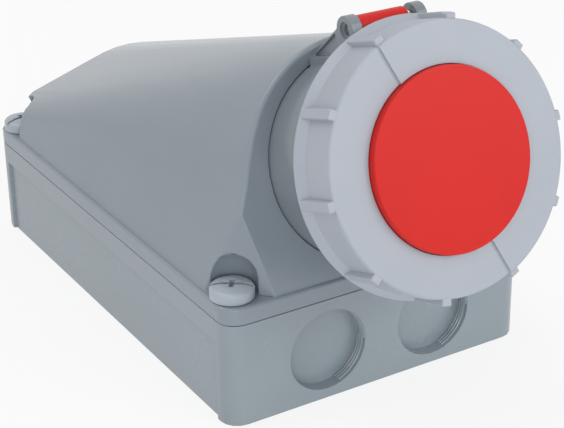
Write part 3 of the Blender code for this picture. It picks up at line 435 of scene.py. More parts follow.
def turned_metal(name, colour, gloss, streak):
    """Plated or turned metal: streaks round the part, tarnish in patches, fine tool marks."""
    made, tree, shader, place = new_material(name)
    cloud = noise(tree, place, scale=140.0, detail=3.0)
    marks = noise(tree, stretched(tree, place, (30.0, streak, streak)), scale=90.0)
    tarnish = ramp(tree, cloud, low=0.45, high=0.8)
    base = blended(tree, tarnish * 0.5, shaded(colour, 1.0), shaded(colour, 0.62))
    feed(tree, shader, Base_Color=base, Metallic=1.0, Roughness=marks * 0.18 + tarnish * 0.12 + gloss,
         Normal=bumped(tree, marks, strength=0.15, distance=0.04 * MM))
    return made


INSERT_COLOUR = (0.03, 0.03, 0.032)
SEAL_COLOUR = (0.02, 0.02, 0.02)
BRASS_COLOUR = (0.72, 0.53, 0.25)
STEEL_COLOUR = (0.6, 0.6, 0.6)


def make_materials():
    """Every material slot of the frame, by its name."""
    paint = colours()
    polished = {"gloss": 0.20, "grain": 0.9 * MM, "grain_depth": 0.003 * MM}
    eroded = {"grain": 0.4 * MM, "mottle": 0.03, "scuffs": 0.2}
    plastics = {
        "hood_grey": (paint.hood, polished),
        "box_grey": (paint.box, {"gloss": 0.27, "grain": 0.8 * MM, "grain_depth": 0.005 * MM}),
        # The housing's colour holds painted shade from the ring; its finish is the hood's polished one
        "housing_grey": (paint.housing, polished),
        "ring_grey": (paint.ring, {**eroded, "gloss": 0.46, "grain_depth": 0.012 * MM}),
        "lid_red": (paint.lid, {**eroded, "gloss": 0.40, "grain_depth": 0.008 * MM, "shine": 0.25}),
        "screw_grey": (paint.screw, {"gloss": 0.28, "grain": 0.6 * MM, "grain_depth": 0.004 * MM}),
        "insert_black": (INSERT_COLOUR, {"gloss": 0.45, "grain": 0.4 * MM, "grain_depth": 0.01 * MM,
                                         "mottle": 0.15}),
    }
    made = {name: moulded_plastic(name, colour, **finish) for name, (colour, finish) in plastics.items()}
    made["seal_rubber"] = satin_rubber("seal_rubber", SEAL_COLOUR)
    made["brass"] = turned_metal("brass", BRASS_COLOUR, gloss=0.22, streak=4.0)
    made["steel"] = turned_metal("steel", STEEL_COLOUR, gloss=0.28, streak=6.0)
    return made


MATERIALS = {}


def finish_of(slot_name):
    """The material of a slot; all of them are made when the first is asked for."""
    if not MATERIALS:
        MATERIALS.update(make_materials())
    return MATERIALS[slot_name]


# Mesh helpers


def linked(mesh, name):
    made = bpy.data.objects.new(name, mesh)
    bpy.context.scene.collection.objects.link(made)
    return made


def from_bmesh(bm, name):
    bmesh.ops.recalc_face_normals(bm, faces=bm.faces)
    mesh = bpy.data.meshes.new(name)
    bm.to_mesh(mesh)
    bm.free()
    return linked(mesh, name)


def applied(item):
    """Replace an object's mesh by its evaluated one and drop the modifiers."""
    bpy.context.view_layer.update()
    depsgraph = bpy.context.evaluated_depsgraph_get()
    mesh = bpy.data.meshes.new_from_object(item.evaluated_get(depsgraph))
    item.modifiers.clear()
    item.data = mesh
    return item


def copy_of(node, name):
    """A merged copy of a CAD node's mesh."""
    mesh = NODES[node].data.copy()
    mesh.name = name
    bm = bmesh.new()
    bm.from_mesh(mesh)
    bmesh.ops.remove_doubles(bm, verts=bm.verts, dist=MERGE)
    bmesh.ops.dissolve_limit(bm, angle_limit=FLAT_ANGLE, verts=bm.verts, edges=bm.edges)
    bm.to_mesh(mesh)
    bm.free()
    mesh.materials.clear()
    custom = mesh.attributes.get("custom_normal")
    if custom:
        mesh.attributes.remove(custom)
    return linked(mesh, name)


def rounded(item, width, segments=2, angle=EDGE_ANGLE, merge=0.0, share=None):
    """Round every edge sharper than angle, in geometry.

    merge joins vertices closer than it first; share gives the part of the width at a place.
    """
    limit = math.radians(angle)
    bm = bmesh.new()
    bm.from_mesh(item.data)
    if merge:
        bmesh.ops.remove_doubles(bm, verts=bm.verts, dist=merge)
        bmesh.ops.dissolve_degenerate(bm, edges=bm.edges, dist=merge / 2)
    if share:
        weight = bm.edges.layers.float.new("bevel_weight_edge")
        for edge in bm.edges:
            if edge.calc_face_angle(0.0) > limit:
                edge[weight] = share((edge.verts[0].co + edge.verts[1].co) / 2)
    bm.to_mesh(item.data)
    bm.free()
    step = item.modifiers.new("edge", "BEVEL")
    step.width = width
    step.segments = segments
    step.limit_method = "WEIGHT" if share else "ANGLE"
    step.angle_limit = limit
    step.use_clamp_overlap = False
    step.miter_outer = "MITER_ARC"
    return applied(item)


def cut(item, *tools):
    return combined(item, "DIFFERENCE", tools)


def add(item, *tools):
    return combined(item, "UNION", tools)


def keep(item, *tools):
    return combined(item, "INTERSECT", tools)


def combined(item, operation, tools):
    """Join or cut an item with each tool in turn; the tools are used up."""
    for tool in tools:
        step = item.modifiers.new("join", "BOOLEAN")
        step.operation = operation
        step.solver = "EXACT"
        step.object = tool
        applied(item)
        bpy.data.objects.remove(tool, do_unlink=True)
    return item


def block(low, high, place=None):
    """A box between two corners, moved to its place."""
    bm = bmesh.new()
    bmesh.ops.create_cube(bm, size=1.0)
    low, high = Vector(low), Vector(high)
    bmesh.ops.scale(bm, vec=high - low, verts=bm.verts)
    bmesh.ops.translate(bm, vec=(low + high) / 2, verts=bm.verts)
    if place is not None:
        bmesh.ops.transform(bm, matrix=place, verts=bm.verts)
    return from_bmesh(bm, "block")


def rod(radius, start, end, segments=ROD_SIDES):
    """A cylinder from one point to the other."""
    start, end = Vector(start), Vector(end)
    along = end - start
    bm = bmesh.new()
    bmesh.ops.create_cone(bm, cap_ends=True, segments=segments, radius1=radius, radius2=radius,
                          depth=along.length)
    turn = Vector((0, 0, 1)).rotation_difference(along.normalized()).to_matrix().to_4x4()
    bmesh.ops.transform(bm, matrix=Matrix.Translation((start + end) / 2) @ turn, verts=bm.verts)
    return from_bmesh(bm, "rod")


def in_socket(x, rise, depth):
    """A point given across, up and back from the ring's front centre."""
    return SOCKET @ Vector((x, rise, -depth))


def dressed(item, name, slot_name, body, *nodes, smooth=SMOOTH_ANGLE):
    """Give a finished piece its name, shading, material, body and the CAD nodes it stands for."""
    item.name = name
    item.data.name = name
    item.data.materials.clear()
    item.data.materials.append(finish_of(slot_name))
    item.data.shade_smooth()
    item.data.set_sharp_from_angle(angle=math.radians(smooth))
    step = item.modifiers.new("normals", "WEIGHTED_NORMAL")
    step.keep_sharp = True
    step.weight = NORMAL_WEIGHT
    applied(item)
    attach(item, body)
    if nodes:
        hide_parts(*nodes)
    return item


def rows_of(profile, segments):
    """Rows of places round local Z for a profile of (radius, depth) points; one place on the axis."""
    turns = [math.tau * i / segments for i in range(segments)]
    for radius, depth in profile:
        row = turns if radius > ON_AXIS else turns[:1]
        yield [(radius * math.cos(turn), radius * math.sin(turn), -depth) for turn in row]


def turned(name, profile, place=None, segments=TURNED_SIDES):
    """A profile of (radius, depth) points turned about local Z; it closes on itself or on the axis."""
    bm = bmesh.new()
    rows = [[bm.verts.new(spot) for spot in row] for row in rows_of(profile, segments)]
    pairs = list(zip(rows, rows[1:]))
    if min(radius for radius, _ in profile) > ON_AXIS:
        pairs.append((rows[-1], rows[0]))
    for first, second in pairs:
        for i in range(segments):
            j = (i + 1) % segments
            corners = (first[i % len(first)], second[i % len(second)],
                       second[j % len(second)], first[j % len(first)])
            face = list(dict.fromkeys(corners))
            if len(face) > 2:
                bm.faces.new(face)
    if place is not None:
        bmesh.ops.transform(bm, matrix=place, verts=bm.verts)
    return from_bmesh(bm, name)


def filleted(points, steps=3):
    """An outline of (radius, depth, rounding) points with its corners rounded."""
    made = []
    count = len(points)
    for i, (radius, depth, size) in enumerate(points):
        here = Vector((radius, depth))
        if not size:
            made.append(tuple(here))
            continue
        start = here + (Vector(points[i - 1][:2]) - here).normalized() * size
        end = here + (Vector(points[(i + 1) % count][:2]) - here).normalized() * size
        for k in range(steps + 1):
            t = k / steps
            made.append(tuple(start * (1 - t) ** 2 + here * 2 * t * (1 - t) + end * t ** 2))
    return made


def arc_block(name, inner, outer, depths, angle, half):
    """A short arc between two radii and two depths of the socket, centred on an angle in degrees."""
    near, deep = depths
    start = math.radians(angle - half)
    bm = bmesh.new()
    rows = []
    for i in range(ARC_STEPS + 1):
        turn = start + math.radians(2 * half) * i / ARC_STEPS
        section = [(inner, -near), (outer, -near), (outer, -deep), (inner, -deep)]
        rows.append([bm.verts.new((r * math.cos(turn), r * math.sin(turn), z)) for r, z in section])
    for low, high in zip(rows, rows[1:]):
        for i in range(len(low)):
            j = (i + 1) % len(low)
            bm.faces.new((low[i], low[j], high[j], high[i]))
    bm.faces.new(rows[0])
    bm.faces.new(rows[-1])
    bmesh.ops.transform(bm, matrix=SOCKET, verts=bm.verts)
    return from_bmesh(bm, name)


def socket_block(low, high):
    """A box in the socket's frame; corners are (x, rise, depth)."""
    return block((low[0], low[1], -high[2]), (high[0], high[1], -low[2]), SOCKET)


def socket_prism(outline, low, high):
    """An outline of (rise, depth) points in the socket's frame, carried from one x to the other."""
    bm = bmesh.new()
    faces = []
    for x in (low, high):
        faces.append(bm.faces.new([bm.verts.new((x, rise, -depth)) for rise, depth in outline]))
    bmesh.ops.bridge_loops(bm, edges=[edge for face in faces for edge in face.edges])
    bmesh.ops.transform(bm, matrix=SOCKET, verts=bm.verts)
    return from_bmesh(bm, "prism")


# Geometry Nodes for what repeats


def node_tree(name, inputs):
    """A Geometry Nodes tree with the named inputs, and its group input and output."""
    tree = bpy.data.node_groups.new(name, "GeometryNodeTree")
    tree.interface.new_socket("Geometry", in_out="INPUT", socket_type="NodeSocketGeometry")
    for label, kind in inputs:
        tree.interface.new_socket(label, in_out="INPUT", socket_type=kind)
    tree.interface.new_socket("Material", in_out="INPUT", socket_type="NodeSocketMaterial")
    tree.interface.new_socket("Geometry", in_out="OUTPUT", socket_type="NodeSocketGeometry")
    return tree, tree.nodes.new("NodeGroupInput").outputs


def tree_node(tree, kind, values, **settings):
    """Add one node to a Geometry Nodes tree and give its outputs."""
    node = tree.nodes.new(kind)
    for name, value in settings.items():
        setattr(node, name, value)
    for key, value in values.items():
        if isinstance(value, bpy.types.NodeSocket):
            tree.links.new(value, node.inputs[key])
        else:
            node.inputs[key].default_value = value
    return node.outputs


def tree_maths(tree, operation, *values):
    return tree_node(tree, "ShaderNodeMath", dict(enumerate(values)), operation=operation)["Value"]


def close_tree(tree, geometry, given):
    """End a tree in real, painted geometry."""
    real = tree_node(tree, "GeometryNodeRealizeInstances", {"Geometry": geometry})["Geometry"]
    painted = tree_node(tree, "GeometryNodeSetMaterial", {"Geometry": real, "Material": given["Material"]})
    tree.links.new(painted["Geometry"], tree.nodes.new("NodeGroupOutput").inputs["Geometry"])
    return tree


def close_with_copies(tree, places, turn, given):
    """End a tree in copies of the object on the places, each turned about local Z."""
    angles = tree_node(tree, "ShaderNodeCombineXYZ", {"Z": turn})["Vector"]
    copies = tree_node(tree, "GeometryNodeInstanceOnPoints", {
        "Points": places, "Instance": given["Geometry"], "Rotation": angles})["Instances"]
    return close_tree(tree, copies, given)


def round_array_tree():
    """Copies of the object round local Z."""
    tree, given = node_tree("Round array", [
        ("Count", "NodeSocketInt"), ("Start angle", "NodeSocketFloat")])
    places = tree_node(tree, "GeometryNodeMeshLine", {
        "Count": given["Count"], "Offset": (0, 0, 0)})["Mesh"]
    index = tree_node(tree, "GeometryNodeInputIndex", {})["Index"]
    step = tree_maths(tree, "DIVIDE", math.tau, given["Count"])
    turn = tree_maths(tree, "MULTIPLY_ADD", index, step, given["Start angle"])
    return close_with_copies(tree, places, turn, given)


def corner_array_tree():
    """Four copies of the object on the corners of a rectangle, each turned a little further."""
    tree, given = node_tree("Corner array", [
        ("Width", "NodeSocketFloat"), ("Length", "NodeSocketFloat"), ("Turn", "NodeSocketFloat")])
    places = tree_node(tree, "GeometryNodeMeshGrid", {
        "Size X": given["Width"], "Size Y": given["Length"], "Vertices X": 2, "Vertices Y": 2})["Mesh"]
    index = tree_node(tree, "GeometryNodeInputIndex", {})["Index"]
    return close_with_copies(tree, places, tree_maths(tree, "MULTIPLY", index, given["Turn"]), given)


def coil_tree():
    """A wire wound about local Z."""
    tree, given = node_tree("Coil", [
        ("Turns", "NodeSocketFloat"), ("Radius", "NodeSocketFloat"), ("Pitch", "NodeSocketFloat"),
        ("Wire radius", "NodeSocketFloat"), ("Sides", "NodeSocketInt"), ("Steps", "NodeSocketInt")])
    line = tree_node(tree, "GeometryNodeCurveSpiral", {
        "Resolution": given["Steps"], "Rotations": given["Turns"], "Start Radius": given["Radius"],
        "End Radius": given["Radius"],
        "Height": tree_maths(tree, "MULTIPLY", given["Turns"], given["Pitch"])})["Curve"]
    section = tree_node(tree, "GeometryNodeCurvePrimitiveCircle", {
        "Resolution": given["Sides"], "Radius": given["Wire radius"]})["Curve"]
    wire = tree_node(tree, "GeometryNodeCurveToMesh", {
        "Curve": line, "Profile Curve": section, "Fill Caps": True})["Mesh"]
    return close_tree(tree, wire, given)


def grown(item, tree, values):
    """Run a tree on an object with the given inputs and keep the result as a plain mesh."""
    step = item.modifiers.new("nodes", "NODES")
    names = {row.name: row.identifier for row in tree.interface.items_tree
             if row.item_type == "SOCKET" and row.in_out == "INPUT"}
    step.node_group = tree
    for name, value in values.items():
        step[names[name]] = value
    return applied(item)


def coil(name, slot_name, values, place):
    """A wound wire, moved to its place."""
    item = linked(bpy.data.meshes.new(name), name)
    grown(item, coil_tree(), {**values, "Material": finish_of(slot_name)})
    item.data.transform(place)
    return item


# Pieces


def hood_edge_share(place):
    """How much of the moulded edge the hood's edges get at a place.

    The foot of a screw pocket stays sharp. The skirt's rim and the neck's opening are finer than the
    rest, and the front arch is softer.
    """
    at_rim = place.z < SCREW_SEAT + OVER
    if math.hypot(abs(place.x) - SCREW_X, abs(place.y) - SCREW_Y) < POCKET_RADIUS + OVER:
        return 0.0 if at_rim else 1.0
    local = SOCKET.inverted() @ place
    if at_rim or math.hypot(local.x, local.y) < NECK_RADIUS + 2 * OVER:
        return FINE_SHARE
    return ARCH_SHARE if abs(local.z + HOOD_FACE_DEPTH) < OVER else 1.0


def make_hood():
    """The hood's own shape with its edges rounded."""
    item = copy_of("cover_hood", "hood")
    rounded(item, sizes().moulded_edge, segments=4, merge=0.12 * MM, share=hood_edge_share)
    dressed(item, "hood_shell", "hood_grey", BODY_OF_REST, "cover_hood")


def make_box():
    """The back box's own shape with its edges rounded."""
    item = copy_of("base_box", "box")
    rounded(item, sizes().fine_edge, merge=0.05 * MM)
    dressed(item, "box_shell", "box_grey", BODY_OF_REST, "base_box")


def make_entry_threads():
    """The first turns of thread inside each closed cable entry."""
    size = sizes()
    reach = ENTRY_RADIUS + 2 * OVER
    for side, word in ((-1, "left"), (1, "right")):
        middle = side * ENTRY_X
        place = Matrix.Translation((middle, BOX_END + THREAD_START, ENTRY_Z)) @ Matrix.Rotation(
            -math.pi / 2, 4, "X")
        item = coil("thread", "box_grey", {
            "Turns": size.thread_turns, "Radius": ENTRY_RADIUS + THREAD_SINK, "Pitch": size.thread_pitch,
            "Wire radius": THREAD_WIRE, "Sides": 4, "Steps": 72}, place)
        cut(item, block((middle - reach, BOX_END - OVER, ENTRY_Z - reach),
                        (middle + THREAD_GAP_X, BOX_END + ENTRY_REACH, ENTRY_Z + THREAD_GAP_Z)))
        dressed(item, f"entry_thread_{word}", "box_grey", BODY_OF_REST, smooth=40.0)


def make_cover_screws():
    """One screw head with its slot and centre cross, set on the four corners."""
    item = turned("cap", filleted([
        (0, -HEAD_HEIGHT, 0), (DOME_RADIUS, -HEAD_HEIGHT + DOME_DROP, 1.5 * MM),
        (BROW_RADIUS, -HEAD_HEIGHT + BROW_DROP, 0.6 * MM),
        (HEAD_RADIUS, -HEAD_HEIGHT + HEAD_SIDE_DROP, 0.6 * MM), (HEAD_RADIUS, 0, 0.3 * MM),
        (SHANK_RADIUS, 0, 0), (SHANK_RADIUS, SHANK_LENGTH, 0.5 * MM), (0, SHANK_LENGTH, 0)]), segments=72)
    top = HEAD_HEIGHT + OVER
    slots = (
        (HEAD_RADIUS + OVER, SLOT_HALF, SLOT_DEPTH),
        (CROSS_ARM, CROSS_HALF, CROSS_DEPTH),
        (CROSS_HALF, CROSS_ARM, CROSS_DEPTH),
    )
    for along, across, depth in slots:
        cut(item, block((-along, -across, HEAD_HEIGHT - depth), (along, across, top)))
    rounded(item, SCREW_EDGE, angle=SHARP_EDGE_ANGLE)
    item.data.transform(Matrix.Rotation(SLOT_TURN, 4, "Z"))
    grown(item, corner_array_tree(), {
        "Width": 2 * SCREW_X, "Length": 2 * SCREW_Y, "Turn": CORNER_TURN,
        "Material": finish_of("screw_grey")})
    item.data.transform(Matrix.Translation((0, 0, SCREW_SEAT)))
    nodes = [f"cover_screw_{corner}" for corner in ("front_left", "front_right", "rear_left", "rear_right")]
    dressed(item, "cap_screws", "screw_grey", BODY_OF_REST, *nodes)


def make_housing():
    """The socket housing, with its ears trimmed, their outer channels and the eyes of the hinge pin."""
    item = copy_of("socket_housing", "housing")
    for side in (-1, 1):
        outside = side * (EAR_OUTSIDE + OVER)
        low, high = sorted((side * EAR_FACE, outside))
        trim = turned("trim", [
            (NECK_SKIN, TRIM_START), (NECK_RADIUS + TRIM_REACH, TRIM_START),
            (NECK_RADIUS + TRIM_REACH, HOOD_FACE_DEPTH - TOUCH),
            (NECK_SKIN, HOOD_FACE_DEPTH - TOUCH)], SOCKET)
        keep(trim, socket_block((low, 0, 0), (high, NECK_RADIUS + 30 * OVER, HOOD_FACE_DEPTH)))
        low, high = sorted((side * (EAR_FACE - CHANNEL_DEPTH), outside))
        channel = socket_prism([
            (CHANNEL_TOP, CHANNEL_START), (CHANNEL_FOOT, CHANNEL_END),
            (NECK_SKIN, CHANNEL_END), (NECK_SKIN, CHANNEL_START)], low, high)
        eye = rod(EYE_RADIUS, in_socket(outside, HINGE_RISE, HINGE_DEPTH),
                  in_socket(side * (EAR_FACE - EYE_DEPTH), HINGE_RISE, HINGE_DEPTH), HOLE_SIDES)
        cut(item, trim, channel, eye)
    rounded(item, sizes().fine_edge, merge=0.06 * MM)
    dressed(item, "housing_shell", "housing_grey", BODY_OF_REST, "socket_housing")


def make_lid():
    """The red disc, its arm through the ring and the knuckle on the hinge pin."""
    front, back = LID_FLANGE_DEPTHS
    lid = turned("lid_cover", filleted([
        (0, -DISC_PROUD, 0), (DISC_RADIUS, -DISC_PROUD, DISC_EDGE), (DISC_RADIUS, front, 0),
        (LID_FLANGE, front, FLANGE_EDGE), (LID_FLANGE, back, FLANGE_EDGE),
        (LID_HOLLOW + HOLLOW_SLOPE, back, HOLLOW_EDGES[0]),
        (LID_HOLLOW, LID_HOLLOW_FLOOR, HOLLOW_EDGES[1]), (0, LID_HOLLOW_FLOOR, 0)]), SOCKET)
    arm = turned("arm", [(LID_FLANGE, front + OVER), (LID_FLANGE, ARM_END),
                         (ARM_INSIDE, ARM_END), (ARM_INSIDE, front + OVER)], SOCKET)
    keep(arm, socket_block((-ARM_HALF, 0, 0), (ARM_HALF, RING_RIM, ARM_END + OVER)))
    web_rise = math.sqrt(ARM_INSIDE ** 2 - ARM_HALF ** 2) + 2 * OVER
    add(arm, socket_block((-ARM_HALF + WEB_INSET, web_rise, RING_DEPTH + OVER),
                          (KNUCKLE_RIGHT - WEB_INSET, HINGE_RISE, ARM_END - WEB_INSET)))
    add(arm, rod(KNUCKLE_RADIUS, in_socket(-EAR_INSIDE + TOUCH, HINGE_RISE, HINGE_DEPTH),
                 in_socket(KNUCKLE_RIGHT, HINGE_RISE, HINGE_DEPTH)))
    add(lid, arm)
    cut(lid, rod(PIN_RADIUS + TOUCH, in_socket(-EAR_OUTSIDE, HINGE_RISE, HINGE_DEPTH),
                 in_socket(EAR_OUTSIDE, HINGE_RISE, HINGE_DEPTH), HOLE_SIDES))
    rounded(lid, LID_EDGE, angle=SHARP_EDGE_ANGLE, merge=0.03 * MM)
    dressed(lid, "lid_cover", "lid_red", BODY_OF_LID, "lid")


def make_ring():
    """The locking ring: a turned body, one half of its face lower, with ribs and bayonet lugs."""
    size = sizes()
    edge = size.ring_edge
    bore = DISC_RADIUS + TOUCH
    skin = RING_BAND + BAND_GROWTH
    rear = [(skin, FLARE_START, edge / 2), (RING_RIM, RIM_START, edge / 2),
            (RING_RIM, RING_DEPTH, edge / 2), (RING_INSIDE, RING_DEPTH, MOUTH_EDGE),
            (RING_INSIDE, RING_PLATE, 0), (bore, RING_PLATE, 0)]
    low, high = [
        turned("ring", filleted([
            (bore, front, BORE_EDGE), (RING_BAND, front, FACE_EDGE), (skin, BAND_START, 0), *rear]))
        for front in (size.ring_step, 0.0)]
    reach = RING_RIM + OVER
    keep(high, block((-RIB_WIDTH / 2, -reach, -reach), (reach, reach, OVER),
                     Matrix.Rotation(RIB_START, 4, "Z")))
    ring = add(low, high)
    rib = block((-RIB_WIDTH / 2, RING_BAND - RIB_ROOT, -RIB_END),
                (RIB_WIDTH / 2, RIB_TOP, -size.ring_step - RIB_SETBACK))
    rounded(rib, edge, segments=3, angle=30.0)
    grown(rib, round_array_tree(), {
        "Count": size.ribs, "Start angle": RIB_START, "Material": finish_of("ring_grey")})
    add(ring, rib)
    ring.data.transform(SOCKET)
    # No rib rises above the frame's own top
    keep(ring, block((-reach, -ROOM, 0), (reach, 0, CAD_BOX[1][2])))
    outer = RING_INSIDE + OVER
    for angle in RING_LUG_ANGLES:
        add(ring, arc_block("bayonet", RING_LUG_TIP, outer, RING_LUG_DEPTHS, angle, RING_LUG_HALF))
    for angle in SNAP_ANGLES:
        add(ring, arc_block("snap", SNAP_TIP, outer, SNAP_DEPTHS, angle, SNAP_HALF))
    dressed(ring, "grip_ring", "ring_grey", BODY_OF_RING, "locking_ring")


def make_hinge():
    """The hinge pin with turned ends and the lid spring beside the knuckle."""
    across = SOCKET @ Matrix.Translation((0, HINGE_RISE, -HINGE_DEPTH)) @ Matrix.Rotation(math.pi / 2, 4, "Y")
    pin = turned("pin", filleted([
        (0, -PIN_END, 0), (PIN_RADIUS, -PIN_END, 0.5 * MM), (PIN_RADIUS, PIN_END, 0.5 * MM),
        (0, PIN_END, 0)]), across, ROD_SIDES)
    dressed(pin, "hinge_axle", "steel", BODY_OF_REST, "hinge_pin")
    turns = 3.0
    pitch = (EAR_INSIDE - KNUCKLE_RIGHT - 2 * TOUCH - 2 * SPRING_WIRE) / turns
    start = across @ Matrix.Translation((0, 0, KNUCKLE_RIGHT + TOUCH + SPRING_WIRE))
    spring = coil("spring", "steel", {
        "Turns": turns, "Radius": PIN_RADIUS + TOUCH + SPRING_WIRE, "Pitch": pitch,
        "Wire radius": SPRING_WIRE, "Sides": 10, "Steps": 40}, start)
    dressed(spring, "torsion_spring", "steel", BODY_OF_REST, "lid_spring")


def make_insert():
    """The contact carrier and its sleeves, with their edges broken."""
    carrier = copy_of("contact_carrier", "carrier")
    rounded(carrier, CARRIER_EDGE, merge=0.03 * MM)
    dressed(carrier, "pole_carrier", "insert_black", BODY_OF_REST, "contact_carrier")
    for name in ("earth", "neutral", "phase_1", "phase_2", "phase_3", "pilot"):
        sleeve = copy_of(f"contact_{name}", "sleeve")
        rounded(sleeve, SLEEVE_EDGE, angle=40.0, merge=0.02 * MM)
        dressed(sleeve, f"sleeve_{name}", "brass", BODY_OF_REST, f"contact_{name}")


def keep_nodes():
    """CAD nodes whose shape is right keep it and get the full material."""
    for row in frame["record"]["subparts"]:
        node = NODES[row["node"]]
        if not node.hide_render:
            node.data.materials.clear()
            node.data.materials.append(finish_of(row["material_slot"]))


# Stage


CAMERA_PLACE = Vector((-380.84, -676.62, 404.47)) * MM
CAMERA_AZIMUTH = math.radians(-32.3775)
CAMERA_ELEVATION = math.radians(25.0719)
CAMERA_ROLL = math.radians(-0.2129)
CAMERA_LENS = 101.05
CAMERA_SENSOR = 36.0
CAMERA_SHIFT = (-0.0628, -0.0182)
CAMERA_CLIP = (0.01, 20.0)

# Each light's name, place, aim, width and height, and power in watts
LIGHTS = (
    ("key", (-0.5, 0.45, 1.6), (0, -0.05, 0.08), (1.2, 1.2), 9.0),
    ("fill", (0.8, -1.3, 0.9), (0, -0.1, 0.1), (1.0, 1.0), 8.4),
    ("front", (-0.75, -1.6, 0.35), (0, -0.1, 0.1), (0.9, 0.6), 6.8),
    ("window", (-1.15, -0.6, 0.9), (0, -0.12, 0.12), (0.3, 0.6), 0.9),
)

WORLD_LIGHT = 0.55         # the world's strength as a light; the camera sees it at 1
GLOSSY_SHARE = 0.75        # how far a reflection sees it as the camera does
WHITE_SHARE = 0.82         # how much of the floor that the camera sees is plain white
FLOOR_DARK = (0.83, 0.83, 0.83, 1.0)
FLOOR_LIGHT = (0.86, 0.86, 0.86, 1.0)
WHITE = (1.0, 1.0, 1.0, 1.0)


def make_camera():
    data = bpy.data.cameras.new("camera")
    data.sensor_width = CAMERA_SENSOR
    data.lens = CAMERA_LENS
    data.shift_x, data.shift_y = CAMERA_SHIFT
    data.clip_start, data.clip_end = CAMERA_CLIP
    level = math.cos(CAMERA_ELEVATION)
    back = Vector((math.sin(CAMERA_AZIMUTH) * level, -math.cos(CAMERA_AZIMUTH) * level,
                   math.sin(CAMERA_ELEVATION)))
    right = Vector((0, 0, 1)).cross(back).normalized()
    up = back.cross(right)
    c, s = math.cos(CAMERA_ROLL), math.sin(CAMERA_ROLL)
    axes = Matrix((right * c + up * s, up * c - right * s, back)).transposed().to_4x4()
    camera = bpy.data.objects.new("camera", data)
    bpy.context.scene.collection.objects.link(camera)
    camera.matrix_world = Matrix.Translation(CAMERA_PLACE) @ axes
    bpy.context.scene.camera = camera


def softbox(name, place, target, size, power):
    """A rectangular light aimed at a point."""
    data = bpy.data.lights.new(name, "AREA")
    data.shape = "RECTANGLE"
    data.size, data.size_y = size
    data.energy = power
    lamp = bpy.data.objects.new(name, data)
    bpy.context.scene.collection.objects.link(lamp)
    aim = Vector(target) - Vector(place)
    lamp.matrix_world = Matrix.Translation(place) @ aim.to_track_quat("-Z", "Y").to_matrix().to_4x4()


def ray_kinds(tree):
    """Whether a ray comes from the camera, from a reflection or through glass."""
    rays = shader_node(tree, "ShaderNodeLightPath", {}, {}).socket.node.outputs
    return [Wire(tree, rays[name]) for name in ("Is Camera Ray", "Is Glossy Ray", "Is Transmission Ray")]


def make_floor():
    """The pale floor: the camera sees it mostly as plain white, under the object's shadow."""
    bm = bmesh.new()
    bmesh.ops.create_grid(bm, x_segments=8, y_segments=8, size=4.0)
    floor = from_bmesh(bm, "floor")
    material, tree, shader, place = new_material("pale_floor")
    base = blended(tree, noise(tree, place, scale=3.0), FLOOR_DARK, FLOOR_LIGHT)
    feed(tree, shader, Base_Color=base, Roughness=0.7)
    camera, glossy, through = ray_kinds(tree)
    white = shader_node(tree, "ShaderNodeEmission", {}, {"Color": WHITE, "Strength": 1.0})
    mixed = shader_node(tree, "ShaderNodeMixShader", {}, {
        0: (camera + glossy + through) * WHITE_SHARE, 1: Wire(tree, shader.outputs["BSDF"]), 2: white})
    tree.links.new(mixed.socket, tree.nodes["Material Output"].inputs["Surface"])
    floor.data.materials.append(material)


def make_world():
    """The white world: at strength 1 to the camera and dimmer as a light."""
    world = bpy.data.worlds.new("studio")
    bpy.context.scene.world = world
    world.use_nodes = True
    tree = world.node_tree
    background = tree.nodes["Background"]
    camera, glossy, _ = ray_kinds(tree)
    strength = (camera + glossy * GLOSSY_SHARE) * (1.0 - WORLD_LIGHT) + WORLD_LIGHT
    background.inputs["Color"].default_value = WHITE
    tree.links.new(strength.socket, background.inputs["Strength"])


def make_stage():
    bpy.context.scene.view_settings.view_transform = "Standard"
    make_camera()
    make_floor()
    make_world()
    for light in LIGHTS:
        softbox(*light)


# Operators


class WALLSOCKET_OT_hood(bpy.types.Operator):
    """Make the cover hood"""

    bl_idname = "wallsocket.hood"
    bl_label = "Cover hood"

    def execute(self, context):
        make_hood()
        return {"FINISHED"}


class WALLSOCKET_OT_box(bpy.types.Operator):
    """Make the back box with its cable entries"""

    bl_idname = "wallsocket.box"
    bl_label = "Back box"

    def execute(self, context):
        make_box()
        return {"FINISHED"}


class WALLSOCKET_OT_entry_threads(bpy.types.Operator):
    """Make the thread in the cable entries"""

    bl_idname = "wallsocket.entry_threads"
    bl_label = "Entry threads"

    def execute(self, context):
        make_entry_threads()
        return {"FINISHED"}


class WALLSOCKET_OT_cover_screws(bpy.types.Operator):
    """Make the four cover screws"""

    bl_idname = "wallsocket.cover_screws"
    bl_label = "Cover screws"

    def execute(self, context):
        make_cover_screws()
        return {"FINISHED"}


class WALLSOCKET_OT_housing(bpy.types.Operator):
    """Make the socket housing with its collar and ears"""

    bl_idname = "wallsocket.housing"
    bl_label = "Socket housing"

    def execute(self, context):
        make_housing()
        return {"FINISHED"}


class WALLSOCKET_OT_lid(bpy.types.Operator):
    """Make the hinged lid"""

    bl_idname = "wallsocket.lid"
    bl_label = "Lid"

    def execute(self, context):
        make_lid()
        return {"FINISHED"}


class WALLSOCKET_OT_ring(bpy.types.Operator):
    """Make the locking ring with its ribs"""

    bl_idname = "wallsocket.ring"
    bl_label = "Locking ring"

    def execute(self, context):
        make_ring()
        return {"FINISHED"}


class WALLSOCKET_OT_hinge(bpy.types.Operator):
    """Make the hinge pin and the lid spring"""

    bl_idname = "wallsocket.hinge"
    bl_label = "Hinge pin and spring"

    def execute(self, context):
        make_hinge()
        return {"FINISHED"}


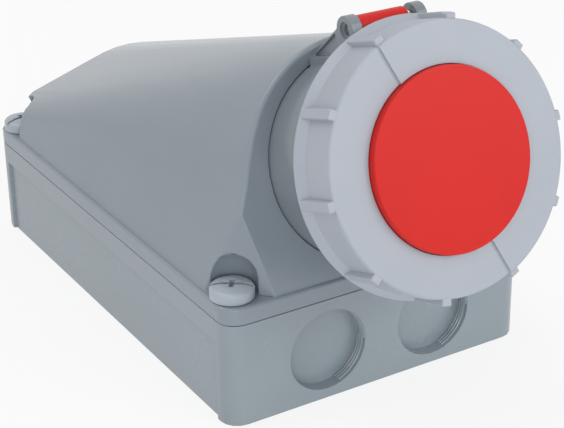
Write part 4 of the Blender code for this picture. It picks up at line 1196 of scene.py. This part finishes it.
class WALLSOCKET_OT_insert(bpy.types.Operator):
    """Make the contact carrier and its sleeves"""

    bl_idname = "wallsocket.insert"
    bl_label = "Contact insert"

    def execute(self, context):
        make_insert()
        return {"FINISHED"}


class WALLSOCKET_OT_frame_nodes(bpy.types.Operator):
    """Give the pieces that keep the frame's own shape their materials"""

    bl_idname = "wallsocket.frame_nodes"
    bl_label = "Seals and inner pieces"

    def execute(self, context):
        keep_nodes()
        return {"FINISHED"}


class WALLSOCKET_OT_stage(bpy.types.Operator):
    """Make the floor, the lights and the camera"""

    bl_idname = "wallsocket.stage"
    bl_label = "Studio"

    def execute(self, context):
        make_stage()
        return {"FINISHED"}


OPERATORS = (
    WALLSOCKET_OT_hood,
    WALLSOCKET_OT_box,
    WALLSOCKET_OT_entry_threads,
    WALLSOCKET_OT_cover_screws,
    WALLSOCKET_OT_housing,
    WALLSOCKET_OT_lid,
    WALLSOCKET_OT_ring,
    WALLSOCKET_OT_hinge,
    WALLSOCKET_OT_insert,
    WALLSOCKET_OT_frame_nodes,
    WALLSOCKET_OT_stage,
)


class WALLSOCKET_PT_panel(bpy.types.Panel):
    """Sizes, colours and makers of the wall socket"""

    bl_idname = "WALLSOCKET_PT_panel"
    bl_label = "Wall socket"
    bl_space_type = "VIEW_3D"
    bl_region_type = "UI"
    bl_category = "Wall socket"

    def draw(self, context):
        for group in (context.scene.socket_sizes, context.scene.socket_colours):
            for name in group.bl_rna.properties.keys():
                if name not in ("rna_type", "name"):
                    self.layout.prop(group, name)
        for operator in OPERATORS:
            self.layout.operator(operator.bl_idname)


CLASSES = (SocketSizes, SocketColours, *OPERATORS, WALLSOCKET_PT_panel)


def register():
    for one in CLASSES:
        bpy.utils.register_class(one)
    bpy.types.Scene.socket_sizes = PointerProperty(type=SocketSizes)
    bpy.types.Scene.socket_colours = PointerProperty(type=SocketColours)


def unregister():
    del bpy.types.Scene.socket_sizes
    del bpy.types.Scene.socket_colours
    for one in reversed(CLASSES):
        bpy.utils.unregister_class(one)


def main():
    register()
    for operator in OPERATORS:
        group, name = operator.bl_idname.split(".")
        getattr(getattr(bpy.ops, group), name)()


if __name__ == "__main__":
    main()
